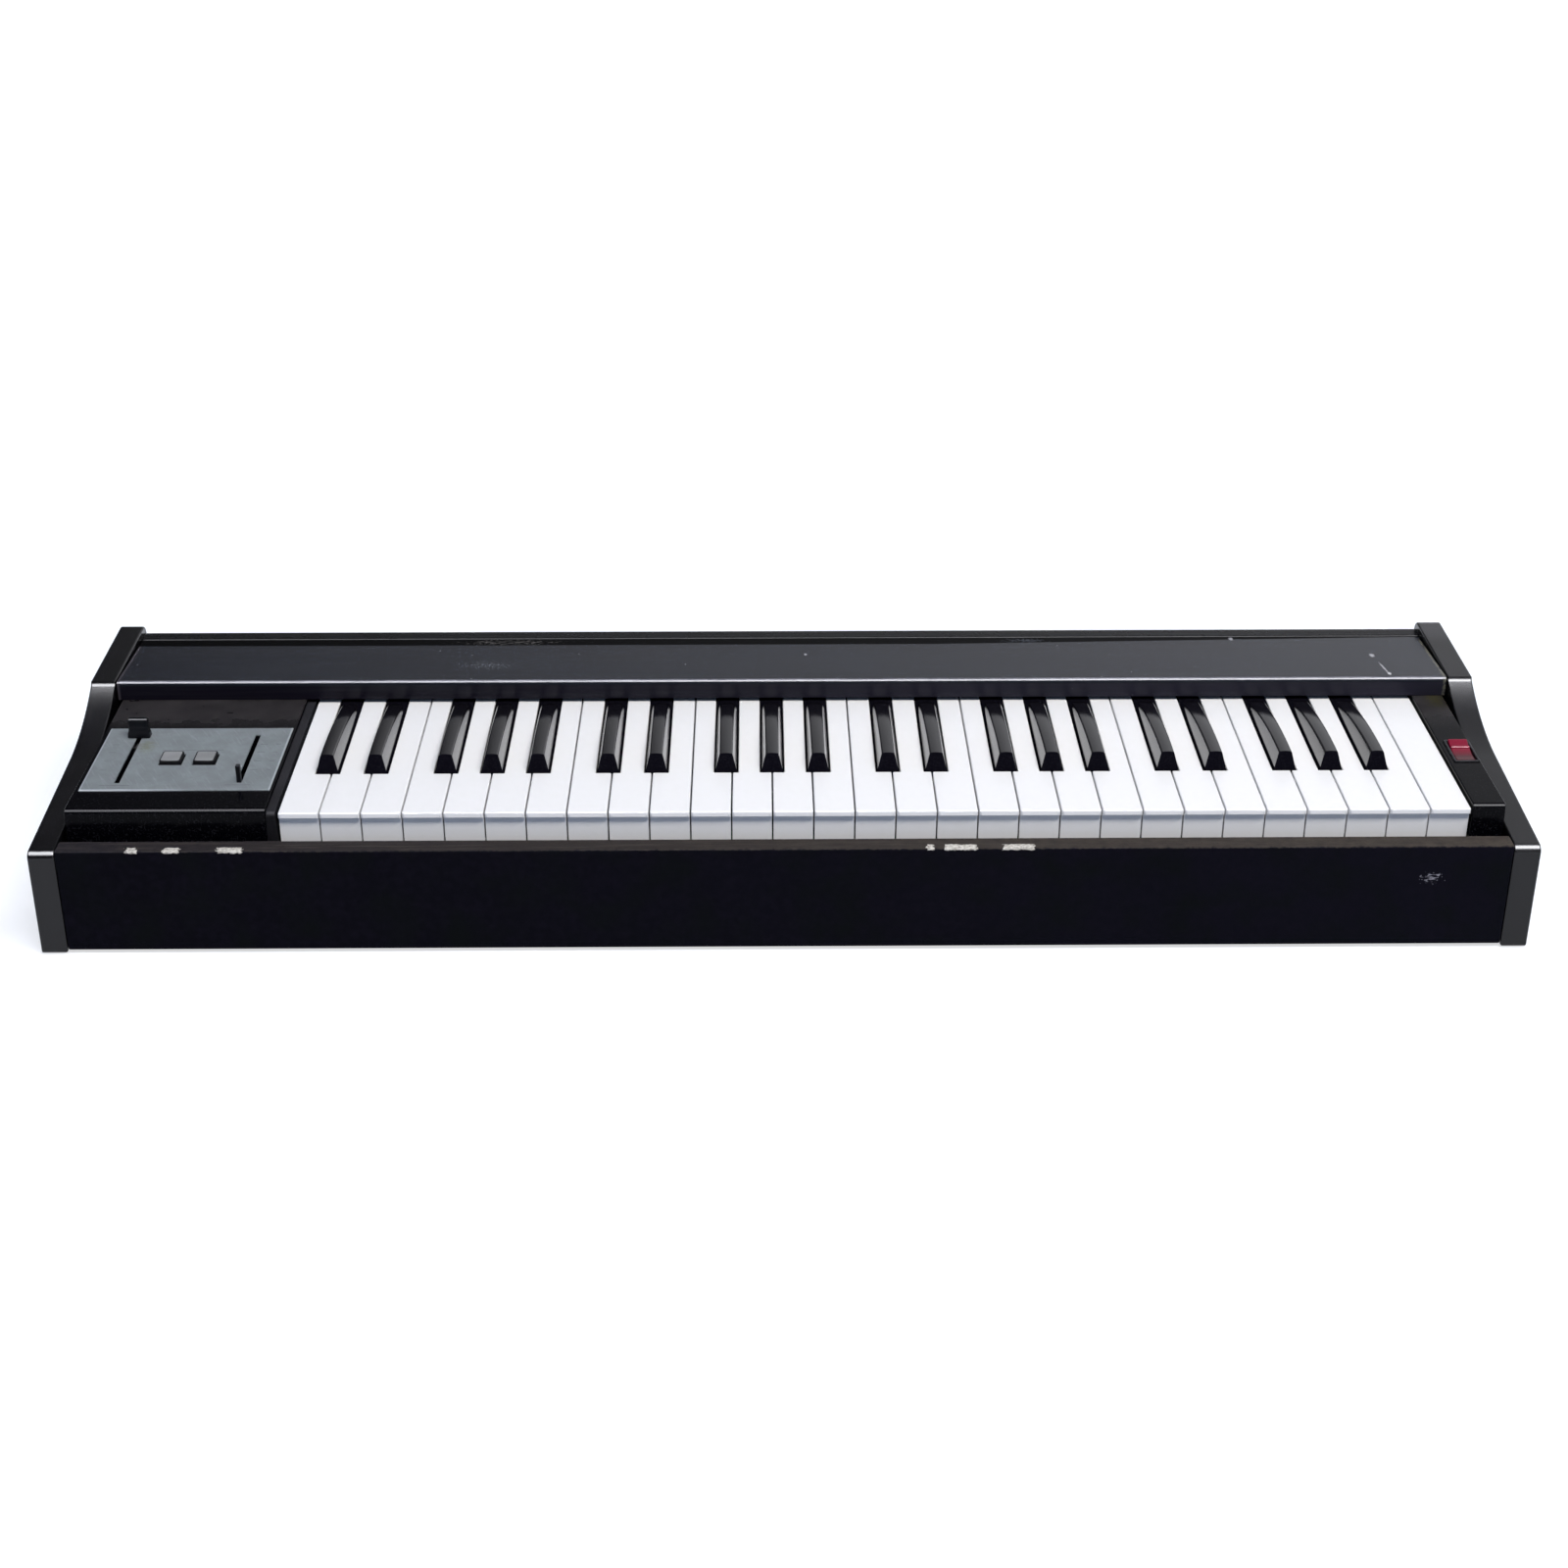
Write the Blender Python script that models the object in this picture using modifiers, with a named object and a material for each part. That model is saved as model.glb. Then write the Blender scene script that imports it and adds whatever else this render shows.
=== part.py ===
"""String synthesizer with 49 keys, two sliders, two push buttons and a power rocker.

Metres, +X to the player's right, +Y to the rear, +Z up. The origin is on the floor,
below the middle of the case.
"""

import math

import bmesh
import bpy
from mathutils import Matrix, Vector

mm = 0.001

# Case
CASE_WIDTH = 861 * mm
CASE_DEPTH = 253 * mm
CHEEK_LOW = 1.4 * mm
FOOT_RADIUS = 11 * mm
FOOT_FLARE = 1.5 * mm
FOOT_INSET = 32 * mm
GAP = 0.3 * mm

# How far a joined piece sinks into its neighbour, and a cutter reaches past what it cuts
OVERLAP = 1 * mm

# Cheeks: a low arm beside the keys that sweeps up to a sharp shoulder beside the cover.
# The sweep's angles are those of its tangent, and it ends in a tighter curve at the shoulder.
CHEEK_THICKNESS = 15.5 * mm
CHEEK_FRONT_TOP = 66.9 * mm
CHEEK_FRONT_RADIUS = 5 * mm
CHEEK_ARM_SLOPE = 4.5
CHEEK_SWEEP_START_Y = -24.5 * mm
CHEEK_SWEEPS = ((153.4 * mm, 29.4, 10), (4.5 * mm, 75, 3))
CHEEK_REAR_TOP = 98.5 * mm
CHEEK_REAR_RADIUS = 6 * mm
CHEEK_EDGE_RADIUS = 1.2 * mm

# Boards
BOARD_THICKNESS = 13 * mm
BOARD_LOW = 2.4 * mm
BOARD_TOP = 67.4 * mm
BOARD_EDGE_RADIUS = 1.5 * mm
FLOOR_LOW = 4 * mm
FLOOR_TOP = 14 * mm
REAR_BOARD_INSET = 0.8 * mm
REAR_BOARD_TOP = 93 * mm
REAR_BOARD_FALL = 0.6 * mm

# Folded steel cover behind the keys
COVER_SHEET = 1.5 * mm
COVER_SIDE_GAP = 2.5 * mm
COVER_FRONT_Y = 38.5 * mm
COVER_LIP_LOW = 84.9 * mm
COVER_TOP = 97 * mm
COVER_SLOPE = 2.95
COVER_BEND_RADIUS = 2.5 * mm
COVER_REAR_LOW = 80 * mm

# Keyboard: octaves from C to C, with 165 mm to the octave
OCTAVES = 4
OCTAVE_SPAN = 165 * mm
WHITES_PER_OCTAVE = 7
KEY_ROW_LEFT = -290.5 * mm
KEY_GAP = 0.9 * mm
KEY_FRONT_Y = -108.5 * mm
KEY_TOP = 82 * mm
KEY_TAIL_Y = 100 * mm
KEY_TAIL_LOW = 69 * mm
WHITE_LIP_THICKNESS = 2.5 * mm
WHITE_LIP_OVERHANG = 1.8 * mm
WHITE_LIP_CHAMFER = 0.6 * mm
WHITE_SKIRT_LOW = 62 * mm
WHITE_EDGE_RADIUS = 0.7 * mm
HEAD_LENGTH = 50 * mm
BLACK_WIDTH = 13.2 * mm
BLACK_CREST_WIDTH = 6.4 * mm
BLACK_CREST_WIDTH_AT_COVER = 8.5 * mm
BLACK_CLEARANCE = 0.6 * mm
BLACK_HEIGHT = 11 * mm
BLACK_FRONT_SETBACK = 3 * mm
BLACK_FRONT_CHAMFER = 0.8 * mm
BLACK_ARCH_RADIUS = 430 * mm
BLACK_ARCH_STEPS = 8
BLACK_EDGE_RADIUS = 0.7 * mm
BLACK_TAIL_TOP = 81 * mm

# The keys rock on one rod, and two rails below them stop the white and the black ones.
# Each stop rail has its front, its rear and its top.
PIVOT_Y = 94 * mm
PIVOT_Z = KEY_TAIL_LOW
PIVOT_ROD_RADIUS = 2.5 * mm
PIVOT_RAIL_STEPS = (49 * mm, 57 * mm)
PIVOT_RAIL_REACH = (7 * mm, 5 * mm)
PIVOT_WEB = 4 * mm
STOP_RAILS = ((-89 * mm, -75 * mm, 52 * mm), (-53 * mm, -41 * mm, 60.8 * mm))

# Black keys sit after these white keys of an octave. Each is moved off the joint of its
# two whites so that the white tails of its group come out equally wide.
BLACK_GROUPS = ((0, 3), (3, 4))

# Blocks beside the keys
BLOCK_TOP = 84.5 * mm
BLOCK_REAR_Y = 80 * mm
BLOCK_EDGE_RADIUS = 3 * mm
BLOCK_WALL = 3 * mm
LEFT_BLOCK = (-411.5 * mm, -297.1 * mm)
SPACER_RIGHT = -291.5 * mm
SPACER_TOP = 82.5 * mm
END_BLOCK = (393.6 * mm, 412.5 * mm)

# Control plate with its sliders and buttons
PLATE_CENTRE = (-353.5 * mm, -44 * mm)
PLATE_SIZE = (110.3 * mm, 81.8 * mm)
PLATE_RISE = 0.8 * mm
SLOT_WIDTH = 3.2 * mm
SLOT_FRONT_Y = -76 * mm
SLOT_REAR_Y = -12.5 * mm
SLOT_XS = {"slider_knob": -388.7 * mm, "slider_lever": -317.8 * mm}
LEVER_SIZE = (2.6 * mm, 3.4 * mm)
LEVER_HEIGHT = 10.5 * mm
CARRIAGE_SIZE = (8 * mm, 12 * mm, 4 * mm)
KNOB_BASE = (13.6 * mm, 9 * mm)
KNOB_NECK = (11.4 * mm, 7.5 * mm)
KNOB_CREST = (12.6 * mm, 8.4 * mm)
KNOB_CREST_CHAMFER = 1 * mm
KNOB_FOOT_TOP = 1.5 * mm
KNOB_WAIST = (5.5 * mm, 8 * mm)
KNOB_LIFT = 0.4 * mm
KNOB_HEIGHT = 11.4 * mm
BUTTON_XS = {"button_left": -362.9 * mm, "button_right": -342.9 * mm}
BUTTON_Y = -45.6 * mm
BUTTON_SIZE = (12.6 * mm, 13.6 * mm)
BUTTON_RISE = 2.4 * mm
BUTTON_EDGE_RADIUS = 0.8 * mm
BUTTON_FLANGE = (1 * mm, 1.4 * mm)

# Power rocker in the end block
ROCKER_CENTRE = (404.3 * mm, -40 * mm)
ROCKER_SIZE = (11.4 * mm, 24 * mm)
ROCKER_AXIS_Z = 82.5 * mm
ROCKER_TILT = 7
ROCKER_ENDS = (3.6 * mm, 4.6 * mm)
ROCKER_RIDGE_INSET = 1 * mm
ROCKER_SKIRT = 1.5 * mm
ROCKER_VALLEY = 2.2 * mm
ROCKER_ROOT = 7 * mm
ROCKER_WELL_DEPTH = 12 * mm
BEZEL_RIM = 1.5 * mm
BEZEL_RISE = 1 * mm

# Sockets in the rear board, the jacks in a recess that thins it to a web
SOCKET_Z = 44 * mm
JACK_RECESS_X = (-395 * mm, -310 * mm)
JACK_RECESS_HEIGHT = 40 * mm
JACK_WEB = 3 * mm
JACK_XS = (-370 * mm, -335 * mm)
JACK_BORE_RADIUS = 3.2 * mm
JACK_END_WALL = 2 * mm
JACK_BODY_RADIUS = 8 * mm
JACK_BODY_LENGTH = 24 * mm
JACK_NUT_RADIUS = 7 * mm
JACK_NUT_HEIGHT = 2.2 * mm
INLET_X = 360 * mm
INLET_RECESS = (27 * mm, 15 * mm, 19 * mm)
INLET_WALL = 2.5 * mm
INLET_PIN = (2 * mm, 9.5 * mm, 4 * mm)
INLET_PIN_SPACING = 7 * mm
INLET_PIN_OFFSET = 2 * mm

HALF_WIDTH = CASE_WIDTH / 2
HALF_DEPTH = CASE_DEPTH / 2
INNER_X = HALF_WIDTH - CHEEK_THICKNESS - GAP
BOARD_BACK_Y = -HALF_DEPTH + BOARD_THICKNESS
REAR_BOARD_BACK_Y = HALF_DEPTH - REAR_BOARD_INSET
REAR_BOARD_FRONT_Y = REAR_BOARD_BACK_Y - BOARD_THICKNESS
KEY_PITCH = OCTAVE_SPAN / WHITES_PER_OCTAVE
WHITE_COUNT = OCTAVES * WHITES_PER_OCTAVE + 1
KEY_ROW_RIGHT = KEY_ROW_LEFT + WHITE_COUNT * KEY_PITCH
NOTCH_WIDTH = BLACK_WIDTH + 2 * BLACK_CLEARANCE
BLACK_FRONT_Y = KEY_FRONT_Y + HEAD_LENGTH
PLATE_TOP = BLOCK_TOP + PLATE_RISE
BLOCK_CEILING = BLOCK_TOP - BLOCK_WALL
SUNK = FLOOR_TOP - OVERLAP

# Turns an outline drawn in X and Y into one that stands in Y and Z and is thick along X
STANDING = Matrix(((0, 0, 1, 0), (1, 0, 0, 0), (0, 1, 0, 0), (0, 0, 0, 1)))


def clear_scene():
    for thing in list(bpy.data.objects):
        bpy.data.objects.remove(thing)


def new_collection(name):
    collection = bpy.data.collections.new(name)
    bpy.context.scene.collection.children.link(collection)
    return collection


def material(name, colour, roughness, metallic=0.0):
    made = bpy.data.materials.new(name)
    made.use_nodes = True
    shader = made.node_tree.nodes["Principled BSDF"]
    shader.inputs["Base Color"].default_value = (*colour, 1)
    shader.inputs["Roughness"].default_value = roughness
    shader.inputs["Metallic"].default_value = metallic
    made.diffuse_color = (*colour, 1)
    return made


def place(name, mesh, collection, origin=(0, 0, 0), look=None):
    """Object from a mesh drawn in world coordinates, with its own origin at a chosen point."""
    mesh.transform(Matrix.Translation(-Vector(origin)))
    piece = bpy.data.objects.new(name, mesh)
    piece.location = origin
    collection.objects.link(piece)
    if look:
        mesh.materials.append(look)
    if collection == helpers:
        piece.hide_render = True
        piece.display_type = "WIRE"
    return piece


def mesh_from(bm, name):
    bmesh.ops.recalc_face_normals(bm, faces=bm.faces)
    mesh = bpy.data.meshes.new(name)
    bm.to_mesh(mesh)
    bm.free()
    return mesh


def arc(centre_y, centre_z, radius, start, end, steps):
    """Points on an arc in the Y Z plane, with angles from +Y towards +Z in degrees."""
    points = []
    for step in range(steps + 1):
        angle = math.radians(start + (end - start) * step / steps)
        points.append((centre_y + radius * math.cos(angle), centre_z + radius * math.sin(angle)))
    return points


def profile_mesh(name, outline, x_low, x_high):
    """Solid with one Y Z outline all along X, from a filled curve with thickness."""
    curve = bpy.data.curves.new(name, "CURVE")
    curve.dimensions = "2D"
    curve.fill_mode = "BOTH"
    curve.extrude = (x_high - x_low) / 2
    spline = curve.splines.new("POLY")
    spline.points.add(len(outline) - 1)
    for point, (y, z) in zip(spline.points, outline):
        point.co = (y, z, 0, 1)
    spline.use_cyclic_u = True
    drawn = bpy.data.objects.new(name, curve)
    bpy.context.scene.collection.objects.link(drawn)
    depsgraph = bpy.context.evaluated_depsgraph_get()
    filled = bpy.data.meshes.new_from_object(drawn.evaluated_get(depsgraph))
    bpy.data.objects.remove(drawn)
    bm = bmesh.new()
    bm.from_mesh(filled)
    bpy.data.meshes.remove(filled)
    bmesh.ops.remove_doubles(bm, verts=bm.verts, dist=1e-6)
    bmesh.ops.dissolve_limit(bm, angle_limit=math.radians(0.1), verts=bm.verts, edges=bm.edges)
    middle = Matrix.Translation(((x_low + x_high) / 2, 0, 0))
    bmesh.ops.transform(bm, matrix=middle @ STANDING, verts=bm.verts)
    return mesh_from(bm, name)


def add_box(bm, low, high):
    """Box between two corners, added to a mesh under construction."""
    low = Vector(low)
    high = Vector(high)
    grown = Matrix.Diagonal((*(high - low), 1))
    bmesh.ops.create_cube(bm, size=1, matrix=Matrix.Translation((low + high) / 2) @ grown)


def box_mesh(name, low, high):
    bm = bmesh.new()
    add_box(bm, low, high)
    return mesh_from(bm, name)


def add_rod(bm, start, end, radius, sides, end_radius=None):
    """Cylinder or cone between two points."""
    run = Vector(end) - Vector(start)
    turned = run.to_track_quat("Z", "Y").to_matrix().to_4x4()
    bmesh.ops.create_cone(
        bm,
        cap_ends=True,
        segments=sides,
        radius1=radius,
        radius2=radius if end_radius is None else end_radius,
        depth=run.length,
        matrix=Matrix.Translation((Vector(start) + Vector(end)) / 2) @ turned,
    )


def combine(piece, helper, operation):
    boolean = piece.modifiers.new(helper.name, "BOOLEAN")
    boolean.object = helper
    boolean.operation = operation
    boolean.solver = "EXACT"


def join(piece, mesh):
    """Unites a piece with a helper that is part of the same body."""
    combine(piece, place(mesh.name, mesh, helpers), "UNION")


def cut(piece, mesh):
    combine(piece, place(mesh.name, mesh, helpers), "DIFFERENCE")


def round_edges(piece, width, chosen=None):
    """Bevels all the sharp edges, or only those whose two ends pass a test."""
    bevel = piece.modifiers.new("rounded_edges", "BEVEL")
    bevel.width = width
    bevel.segments = 2
    bevel.limit_method = "ANGLE"
    bevel.angle_limit = math.radians(40)
    if chosen:
        bevel.limit_method = "WEIGHT"
        mesh = piece.data
        weights = mesh.attributes.new("bevel_weight_edge", "FLOAT", "EDGE")
        for edge in mesh.edges:
            ends = [mesh.vertices[index].co + piece.location for index in edge.vertices]
            weights.data[edge.index].value = 1.0 if chosen(*ends) else 0.0


def on_one_side(start, end):
    """True for an edge of a side face, which lies at one X."""
    return abs(start.x - end.x) < GAP


def bisect(mesh, point, normal):
    """Adds a ring of edges where a plane crosses a mesh."""
    bm = bmesh.new()
    bm.from_mesh(mesh)
    everything = bm.verts[:] + bm.edges[:] + bm.faces[:]
    bmesh.ops.bisect_plane(bm, geom=everything, dist=1e-6, plane_co=point, plane_no=normal)
    bm.to_mesh(mesh)
    bm.free()


def cheek_outline():
    """Side view of a cheek: upright front, rising arm, sweep, shoulder, round rear corner."""
    front = -HALF_DEPTH
    radius = CHEEK_FRONT_RADIUS
    slope = CHEEK_ARM_SLOPE
    outline = [(front, CHEEK_LOW)]
    outline += arc(front + radius, CHEEK_FRONT_TOP - radius, radius, 180, 90 + slope, 5)
    y, z = outline[-1]
    z += (CHEEK_SWEEP_START_Y - y) * math.tan(math.radians(slope))
    y = CHEEK_SWEEP_START_Y
    for radius, end_slope, steps in CHEEK_SWEEPS:
        centre_y = y - radius * math.sin(math.radians(slope))
        centre_z = z + radius * math.cos(math.radians(slope))
        curve = arc(centre_y, centre_z, radius, slope - 90, end_slope - 90, steps)
        outline += curve if slope == CHEEK_ARM_SLOPE else curve[1:]
        y, z = curve[-1]
        slope = end_slope
    radius = CHEEK_REAR_RADIUS
    outline += arc(HALF_DEPTH - radius, CHEEK_REAR_TOP - radius, radius, 91, 0, 6)
    outline.append((HALF_DEPTH, CHEEK_LOW))
    return outline


def make_cheeks():
    black = material("cheek_moulding", (0.012, 0.012, 0.014), 0.38)
    spans = {
        "left_cheek": (-HALF_WIDTH, -HALF_WIDTH + CHEEK_THICKNESS),
        "right_cheek": (HALF_WIDTH - CHEEK_THICKNESS, HALF_WIDTH),
    }
    for name, (x_low, x_high) in spans.items():
        cheek = place(name, profile_mesh(name, cheek_outline(), x_low, x_high), parts, look=black)
        round_edges(cheek, CHEEK_EDGE_RADIUS, on_one_side)


def make_front_board():
    vinyl = material("board_covering", (0.010, 0.011, 0.016), 0.6)
    low = (-INNER_X, -HALF_DEPTH + GAP, BOARD_LOW)
    high = (INNER_X, BOARD_BACK_Y, BOARD_TOP)
    board = place("front_board", box_mesh("front_board", low, high), parts, look=vinyl)
    round_edges(board, BOARD_EDGE_RADIUS)


def cover_line():
    """Section of the cover: front lip, bend, top that falls to the rear, bend, rear fold."""
    bend = COVER_BEND_RADIUS
    fall = math.tan(math.radians(COVER_SLOPE))
    inset = bend / math.cos(math.radians(COVER_SLOPE))
    front_y = COVER_FRONT_Y + bend
    rear_y = REAR_BOARD_FRONT_Y - GAP - bend
    front_z = COVER_TOP - bend * fall - inset
    rear_z = COVER_TOP - (rear_y - COVER_FRONT_Y) * fall - inset
    line = [(COVER_FRONT_Y, COVER_LIP_LOW)]
    line += arc(front_y, front_z, bend, 180, 90 - COVER_SLOPE, 4)
    line += arc(rear_y, rear_z, bend, 90 - COVER_SLOPE, 0, 4)
    line.append((rear_y + bend, COVER_REAR_LOW))
    return line


def make_top_cover():
    """Steel sheet drawn as its outer face, with its thickness inward."""
    steel = material("cover_paint", (0.035, 0.038, 0.045), 0.42)
    half_length = INNER_X - COVER_SIDE_GAP
    bm = bmesh.new()
    edge = [bm.verts.new((-half_length, y, z)) for y, z in cover_line()]
    edges = [bm.edges.new(pair) for pair in zip(edge, edge[1:])]
    swept = bmesh.ops.extrude_edge_only(bm, edges=edges)["geom"]
    moved = [part for part in swept if isinstance(part, bmesh.types.BMVert)]
    bmesh.ops.translate(bm, verts=moved, vec=(2 * half_length, 0, 0))
    for face in bm.faces:
        face.normal_update()
    top = max(bm.faces, key=lambda face: face.calc_area())
    if top.normal.z < 0:
        bmesh.ops.reverse_faces(bm, faces=bm.faces)
    mesh = bpy.data.meshes.new("top_cover")
    bm.to_mesh(mesh)
    bm.free()
    cover = place("top_cover", mesh, parts, look=steel)
    shell = cover.modifiers.new("sheet", "SOLIDIFY")
    shell.thickness = COVER_SHEET
    shell.offset = -1
    shell.use_even_offset = True


def black_key_centres():
    """X of each black key, with equal white tails inside each group of an octave."""
    centres = []
    for octave in range(OCTAVES):
        for first, whites in BLACK_GROUPS:
            left = KEY_ROW_LEFT + (octave * WHITES_PER_OCTAVE + first) * KEY_PITCH
            tail = (whites * KEY_PITCH - (whites - 1) * NOTCH_WIDTH) / whites
            for step in range(whites - 1):
                centres.append(left + (step + 1) * tail + (step + 0.5) * NOTCH_WIDTH)
    return centres


def hinge_notch():
    """Half-round seat on the underside that lets a key rock on the pivot rod."""
    return arc(PIVOT_Y, PIVOT_Z, PIVOT_ROD_RADIUS + GAP, 180, 0, 6)


def white_key_outline():
    """Side view of a white key: overhanging lip, deep skirt, thin tail on the pivot rod."""
    face_y = KEY_FRONT_Y + WHITE_LIP_OVERHANG
    edge = WHITE_LIP_CHAMFER
    outline = [
        (KEY_FRONT_Y + edge, KEY_TOP),
        (KEY_FRONT_Y, KEY_TOP - edge),
        (KEY_FRONT_Y, KEY_TOP - WHITE_LIP_THICKNESS + edge),
        (KEY_FRONT_Y + edge, KEY_TOP - WHITE_LIP_THICKNESS),
        (face_y, KEY_TOP - WHITE_LIP_THICKNESS),
        (face_y, WHITE_SKIRT_LOW),
        (BLACK_FRONT_Y - BLACK_CLEARANCE, WHITE_SKIRT_LOW),
        (BLACK_FRONT_Y - BLACK_CLEARANCE, KEY_TAIL_LOW),
    ]
    outline += hinge_notch()
    outline += [(KEY_TAIL_Y, KEY_TAIL_LOW), (KEY_TAIL_Y, KEY_TOP)]
    return outline


def on_white_rim(start, end):
    """True for the side edges of a white key's playing face and of its lip."""
    lip_low = KEY_TOP - WHITE_LIP_THICKNESS - GAP
    return on_one_side(start, end) and min(start.z, end.z) > lip_low and start.y != end.y


def make_white_keys(centres):
    ivory = material("white_key_plastic", (0.82, 0.82, 0.80), 0.3)
    notch_low = WHITE_SKIRT_LOW - OVERLAP
    notches = []
    for number, centre in enumerate(centres):
        low = (centre - NOTCH_WIDTH / 2, BLACK_FRONT_Y - BLACK_CLEARANCE, notch_low)
        high = (centre + NOTCH_WIDTH / 2, KEY_TAIL_Y + OVERLAP, KEY_TOP + OVERLAP)
        name = "black_key_room_%02d" % (number + 1)
        notches.append(place(name, box_mesh(name, low, high), helpers))
    for number in range(WHITE_COUNT):
        left = KEY_ROW_LEFT + number * KEY_PITCH
        right = left + KEY_PITCH
        name = "white_key_%02d" % (number + 1)
        mesh = profile_mesh(name, white_key_outline(), left + KEY_GAP / 2, right - KEY_GAP / 2)
        origin = ((left + right) / 2, PIVOT_Y, PIVOT_Z)
        key = place(name, mesh, parts, origin, ivory)
        round_edges(key, WHITE_EDGE_RADIUS, on_white_rim)
        for notch, centre in zip(notches, centres):
            if left - NOTCH_WIDTH / 2 < centre < right + NOTCH_WIDTH / 2:
                combine(key, notch, "DIFFERENCE")


def black_crest():
    """Points of a black key's arched crest, from its front chamfer down to its tail."""
    crest = KEY_TOP + BLACK_HEIGHT
    crest_y = BLACK_FRONT_Y + BLACK_FRONT_SETBACK
    run = math.sqrt(2 * BLACK_ARCH_RADIUS * (crest - BLACK_TAIL_TOP))
    points = [(crest_y - BLACK_FRONT_CHAMFER, crest - BLACK_FRONT_CHAMFER)]
    for step in range(BLACK_ARCH_STEPS + 1):
        along = BLACK_FRONT_CHAMFER + (run - BLACK_FRONT_CHAMFER) * step / BLACK_ARCH_STEPS
        points.append((crest_y + along, crest - along * along / (2 * BLACK_ARCH_RADIUS)))
    return points


def black_key_mesh(name, centre):
    """Black key that is square-sided below the white keys' tops and tapers to its crest above.

    It is cut across at each point of the crest first, so that the tapered sides stay smooth.
    """
    outline = [(BLACK_FRONT_Y, KEY_TAIL_LOW), (BLACK_FRONT_Y, KEY_TOP)]
    outline += black_crest()
    outline += [(KEY_TAIL_Y, BLACK_TAIL_TOP), (KEY_TAIL_Y, KEY_TAIL_LOW)]
    outline += reversed(hinge_notch())
    half = BLACK_WIDTH / 2
    mesh = profile_mesh(name, outline, centre - half, centre + half)
    bisect(mesh, (0, 0, KEY_TOP), (0, 0, 1))
    for y, z in black_crest():
        if z > KEY_TOP:
            bisect(mesh, (0, y, 0), (0, 1, 0))
    crest_front = BLACK_FRONT_Y + BLACK_FRONT_SETBACK
    for vertex in mesh.vertices:
        if vertex.co.z > KEY_TOP + GAP:
            share = (vertex.co.y - crest_front) / (COVER_FRONT_Y - crest_front)
            width = BLACK_CREST_WIDTH + (BLACK_CREST_WIDTH_AT_COVER - BLACK_CREST_WIDTH) * share
            vertex.co.x = centre + math.copysign(width / 2, vertex.co.x - centre)
    return mesh


def on_black_rim(start, end):
    """True for the side edges of a black key's front and of its crest while that stands high."""
    low = KEY_TOP + 2 * BLACK_EDGE_RADIUS
    same_side = abs(start.x - end.x) < BLACK_CREST_WIDTH / 2
    return same_side and min(start.z, end.z) > low


def make_black_keys(centres):
    ebony = material("black_key_plastic", (0.015, 0.015, 0.017), 0.32)
    for number, centre in enumerate(centres):
        name = "black_key_%02d" % (number + 1)
        mesh = black_key_mesh(name, centre)
        key = place(name, mesh, parts, (centre, PIVOT_Y, PIVOT_Z), ebony)
        round_edges(key, BLACK_EDGE_RADIUS, on_black_rim)


def block_outline(top):
    """Side view of a block beside the keys, with its round front edge."""
    radius = BLOCK_EDGE_RADIUS
    outline = [(KEY_FRONT_Y, FLOOR_TOP + GAP)]
    outline += arc(KEY_FRONT_Y + radius, top - radius, radius, 180, 90, 4)
    outline += [(BLOCK_REAR_Y, top), (BLOCK_REAR_Y, FLOOR_TOP + GAP)]
    return outline


def make_control_block():
    """Hollow moulding left of the keys, open below, with a raised plate, two slots and two holes."""
    gloss = material("block_moulding", (0.012, 0.011, 0.013), 0.25)
    name = "control_block"
    left, right = LEFT_BLOCK
    block = place(name, profile_mesh(name, block_outline(BLOCK_TOP), left, right), parts, look=gloss)
    join(block, profile_mesh("spacer", block_outline(SPACER_TOP), right - GAP, SPACER_RIGHT))
    plate_low = [PLATE_CENTRE[axis] - PLATE_SIZE[axis] / 2 for axis in (0, 1)]
    plate_high = [PLATE_CENTRE[axis] + PLATE_SIZE[axis] / 2 for axis in (0, 1)]
    join(block, box_mesh("plate_step", (*plate_low, BLOCK_CEILING + GAP), (*plate_high, PLATE_TOP)))
    hollow_low = (left + BLOCK_WALL, KEY_FRONT_Y + BLOCK_WALL, FLOOR_TOP - GAP)
    hollow_high = (right - BLOCK_WALL, BLOCK_REAR_Y - BLOCK_WALL, BLOCK_CEILING)
    cut(block, box_mesh("block_hollow", hollow_low, hollow_high))
    openings = bmesh.new()
    below = BLOCK_CEILING - GAP
    above = PLATE_TOP + GAP
    for x in SLOT_XS.values():
        half = SLOT_WIDTH / 2
        add_box(openings, (x - half, SLOT_FRONT_Y, below), (x + half, SLOT_REAR_Y, above))
    for x in BUTTON_XS.values():
        half_x = BUTTON_SIZE[0] / 2 + GAP
        half_y = BUTTON_SIZE[1] / 2 + GAP
        low = (x - half_x, BUTTON_Y - half_y, below)
        add_box(openings, low, (x + half_x, BUTTON_Y + half_y, above))
    cut(block, mesh_from(openings, "plate_openings"))


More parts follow.
